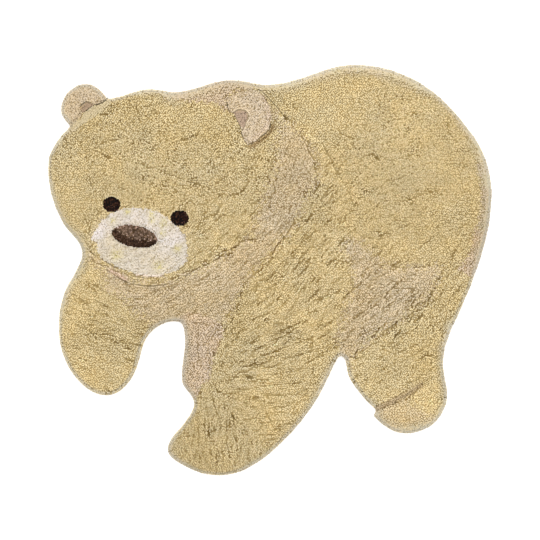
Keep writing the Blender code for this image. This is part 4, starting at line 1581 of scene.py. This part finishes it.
def innerEarPile():
    spots = []
    for corners in innerEars.values():
        loop = np.array(corners, float)
        step, rowStep = lowCut["spacing"], lowCut["spacing"] * 0.866
        low, high = loop.min(0) - 4, loop.max(0) + 4
        grid = np.array([((c + (r % 2) / 2) * step, r * rowStep)
                         for r in range(int(low[1] / rowStep) - 1, int(high[1] / rowStep) + 2)
                         for c in range(int(low[0] / step) - 1, int(high[0] / step) + 2)])
        grid += randoms.uniform(-0.2, 0.2, grid.shape) * step
        spots.append(grid[depthInside(grid, loop) > -lowCut["past"]])
    spots = np.vstack(spots)
    count = len(spots)
    top = lowCut["height"] + randoms.normal(0, 0.15, count)
    roots = np.column_stack([spots, top - lowCut["length"]])
    rise = np.full(count, lowCut["length"])
    bend = randoms.normal(0, 0.35, (count, 2))
    size = lowCut["radius"] * (1 + randoms.normal(0, 1, count) * lowCut["radiusSpread"])
    base, spread = yarns["mauve"]
    own = np.array(base)[None] * (1 + randoms.normal(0, 1, count) * spread)[:, None]
    own[spots[:, 0] < -300] *= lowCut["leftShade"]
    still = np.zeros(count)
    mesh = tuftMesh("innerEarPile", roots, rise, bend, size, own, edgeTuft, still, still, still)
    addPile("innerEarPile", mesh, mauveYarn)


innerEarPile()


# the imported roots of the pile, under the tufts
packedRoots = {
    "below": 5.5,
    "foot": 2.6,
    "lowest": 3.4,
    "drawnIn": 0.75,  # how far the side is drawn in, as a share of the way to the foot
}


def rootsFinish():
    finish = Finish("packed roots of the pile", Metallic=0.0, Specular_IOR_Level=0.2)
    place = finish.node("ShaderNodeTexCoord", output=3)
    yarn = finish.node("ShaderNodeAttribute", {"attribute_name": "yarn"})
    cells = finish.node("ShaderNodeTexVoronoi", {"feature": "F1"}, Vector=place, Scale=220.0, Randomness=0.9)
    broad = finish.node("ShaderNodeTexNoise", Vector=place, Scale=30.0, Detail=3.0)
    # painted shade under the tufts: the roots take their yarn's colour darkened, darkest between the cells of
    # the bundles
    deep = finish.node("ShaderNodeValToRGB", {"stops": [
        (0.0, (0.8, 0.74, 0.62, 1)), (0.6, (0.64, 0.58, 0.46, 1)), (1.0, (0.5, 0.44, 0.32, 1))]},
        Fac=(cells * 1.1 + 0.35 * (broad - 0.5)).within())
    finish.feeds(finish.blended(1.0, yarn, deep, "MULTIPLY"), "Base Color")
    finish.feeds(0.85 + 0.12 * broad, "Roughness")
    bump = finish.node("ShaderNodeBump", Strength=0.8, Distance=0.002, Height=1 - cells)
    finish.feeds(bump, "Normal")
    return finish.material


def rootsPiece():
    # the solid itself, lowered and drawn in at its side
    bm, _ = readSolid()
    foot = {}
    for v in bm.verts:
        if v.co.z < 1e-4:
            for e in v.link_edges:
                other = e.other_vert(v)
                if other.co.z > 1e-4:
                    foot.setdefault(other, []).append(v.co.copy())
    for v, below in foot.items():
        inner = sum(below, Vector()) / len(below)
        v.co.xy = v.co.xy.lerp(inner.xy, packedRoots["drawnIn"])
    for v in bm.verts:
        if v.co.z < 1e-4:
            v.co.z = packedRoots["foot"] * mm
        else:
            v.co.z = max(v.co.z - packedRoots["below"] * mm, packedRoots["lowest"] * mm)
    mesh = bpy.data.meshes.new("pileRoots")
    bm.to_mesh(mesh)
    bm.free()
    mesh.shade_smooth()
    mesh.materials.clear()
    near = [nearTuft.find((v.co.x / mm, v.co.y / mm, 0))[1] for v in mesh.vertices]
    rgba = np.column_stack([colours[near], np.ones(len(near))]).astype(np.float32)
    mesh.attributes.new("yarn", "FLOAT_COLOR", "POINT").data.foreach_set("color", rgba.ravel())
    addPile("pileRoots", mesh, rootsFinish())


rootsPiece()


# the canvas that the yarn is tufted into
canvas = {"thickness": 3.0, "thread": 2.0, "flatSize": (1.20, 1.11), "area": 0.97}


def canvasFinish():
    finish = Finish("cotton canvas", Metallic=0.0, Specular_IOR_Level=0.25)
    place = finish.node("ShaderNodeTexCoord", output=3)
    x = finish.node("ShaderNodeSeparateXYZ", output=0, Vector=place) * (1 / (canvas["thread"] * mm))
    y = finish.node("ShaderNodeSeparateXYZ", output=1, Vector=place) * (1 / (canvas["thread"] * mm))
    warp, weft = (x * pi).sine().size(), (y * pi).sine().size()
    over = (x.floor() + y.floor()).modulo(2)  # which thread lies on top
    height = over * warp + (1 - over) * weft
    slub = finish.node("ShaderNodeTexNoise", Vector=place, Scale=90.0, Detail=3.0)
    thread = finish.node("ShaderNodeTexNoise", Vector=place, Scale=700.0, Detail=2.0)
    # lighter on the crowns of the threads and darker where the weave is low: painted shade between the
    # threads; the slubs differ at random
    tone = finish.blended((0.25 + 0.5 * height + 0.5 * (slub - 0.5)).within(),
                          (*linear(172, 155, 126), 1), (*linear(226, 212, 186), 1))
    finish.feeds(tone, "Base Color")
    finish.feeds(0.8 + 0.15 * slub, "Roughness")
    bump = finish.node("ShaderNodeBump", Strength=0.8, Distance=0.0006, Height=height + 0.3 * thread)
    finish.feeds(bump, "Normal")
    return finish.material


def canvasPiece():
    bm = bmesh.new()
    verts = [bm.verts.new((x * mm, y * mm, 0)) for x, y in footLoop]
    face = bm.faces.new(verts)
    made = bmesh.ops.extrude_face_region(bm, geom=[face])["geom"]
    top = [v for v in made if isinstance(v, bmesh.types.BMVert)]
    bmesh.ops.translate(bm, verts=top, vec=(0, 0, canvas["thickness"] * mm))
    bmesh.ops.triangulate(bm, faces=bm.faces)
    bmesh.ops.recalc_face_normals(bm, faces=bm.faces)
    mesh = bpy.data.meshes.new("canvasBack")
    bm.to_mesh(mesh)
    bm.free()
    piece = placed("canvasBack", mesh, canvasFinish())
    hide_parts("rug")
    print("canvas made")


canvasPiece()


# floor and light
studio = {
    "floorSize": 14.0,
    "floorColour": (0.93, 0.925, 0.915, 1),
    "floorGlow": 0.3,
    "sky": 1.08,
    "lights": {  # place, size and energy
        "soft light from the top": ((-0.9, 3.0, 3.4), 2.2, 92),
        "fill light": ((2.6, -1.2, 3.8), 2.6, 25),
    },
}


def studioFloor():
    bm = bmesh.new()
    bmesh.ops.create_grid(bm, x_segments=4, y_segments=4, size=studio["floorSize"] / 2)
    mesh = bpy.data.meshes.new("studio floor")
    bm.to_mesh(mesh)
    bm.free()
    finish = Finish("pale studio floor", Base_Color=studio["floorColour"], Roughness=0.7,
                    Emission_Color=(1, 1, 1, 1), Emission_Strength=studio["floorGlow"])
    mesh.materials.append(finish.material)
    floor = bpy.data.objects.new("studioFloor", mesh)
    floor.location.z = -0.6 * mm  # just under the rug
    bpy.context.scene.collection.objects.link(floor)


def softLight(name, place, size, energy):
    lamp = bpy.data.lights.new(name, "AREA")
    lamp.shape, lamp.size, lamp.energy = "SQUARE", size, energy
    light = bpy.data.objects.new(name, lamp)
    light.location = place
    light.rotation_euler = (-Vector(place)).to_track_quat("-Z", "Y").to_euler()  # towards the rug's middle
    bpy.context.scene.collection.objects.link(light)


studioFloor()
for name, (place, size, energy) in studio["lights"].items():
    softLight(name, place, size, energy)
world = bpy.data.worlds.new("even studio light")
world.use_nodes = True
world.node_tree.nodes["Background"].inputs["Color"].default_value = (1, 1, 1, 1)
world.node_tree.nodes["Background"].inputs["Strength"].default_value = studio["sky"]
bpy.context.scene.world = world
print("floor and light set")
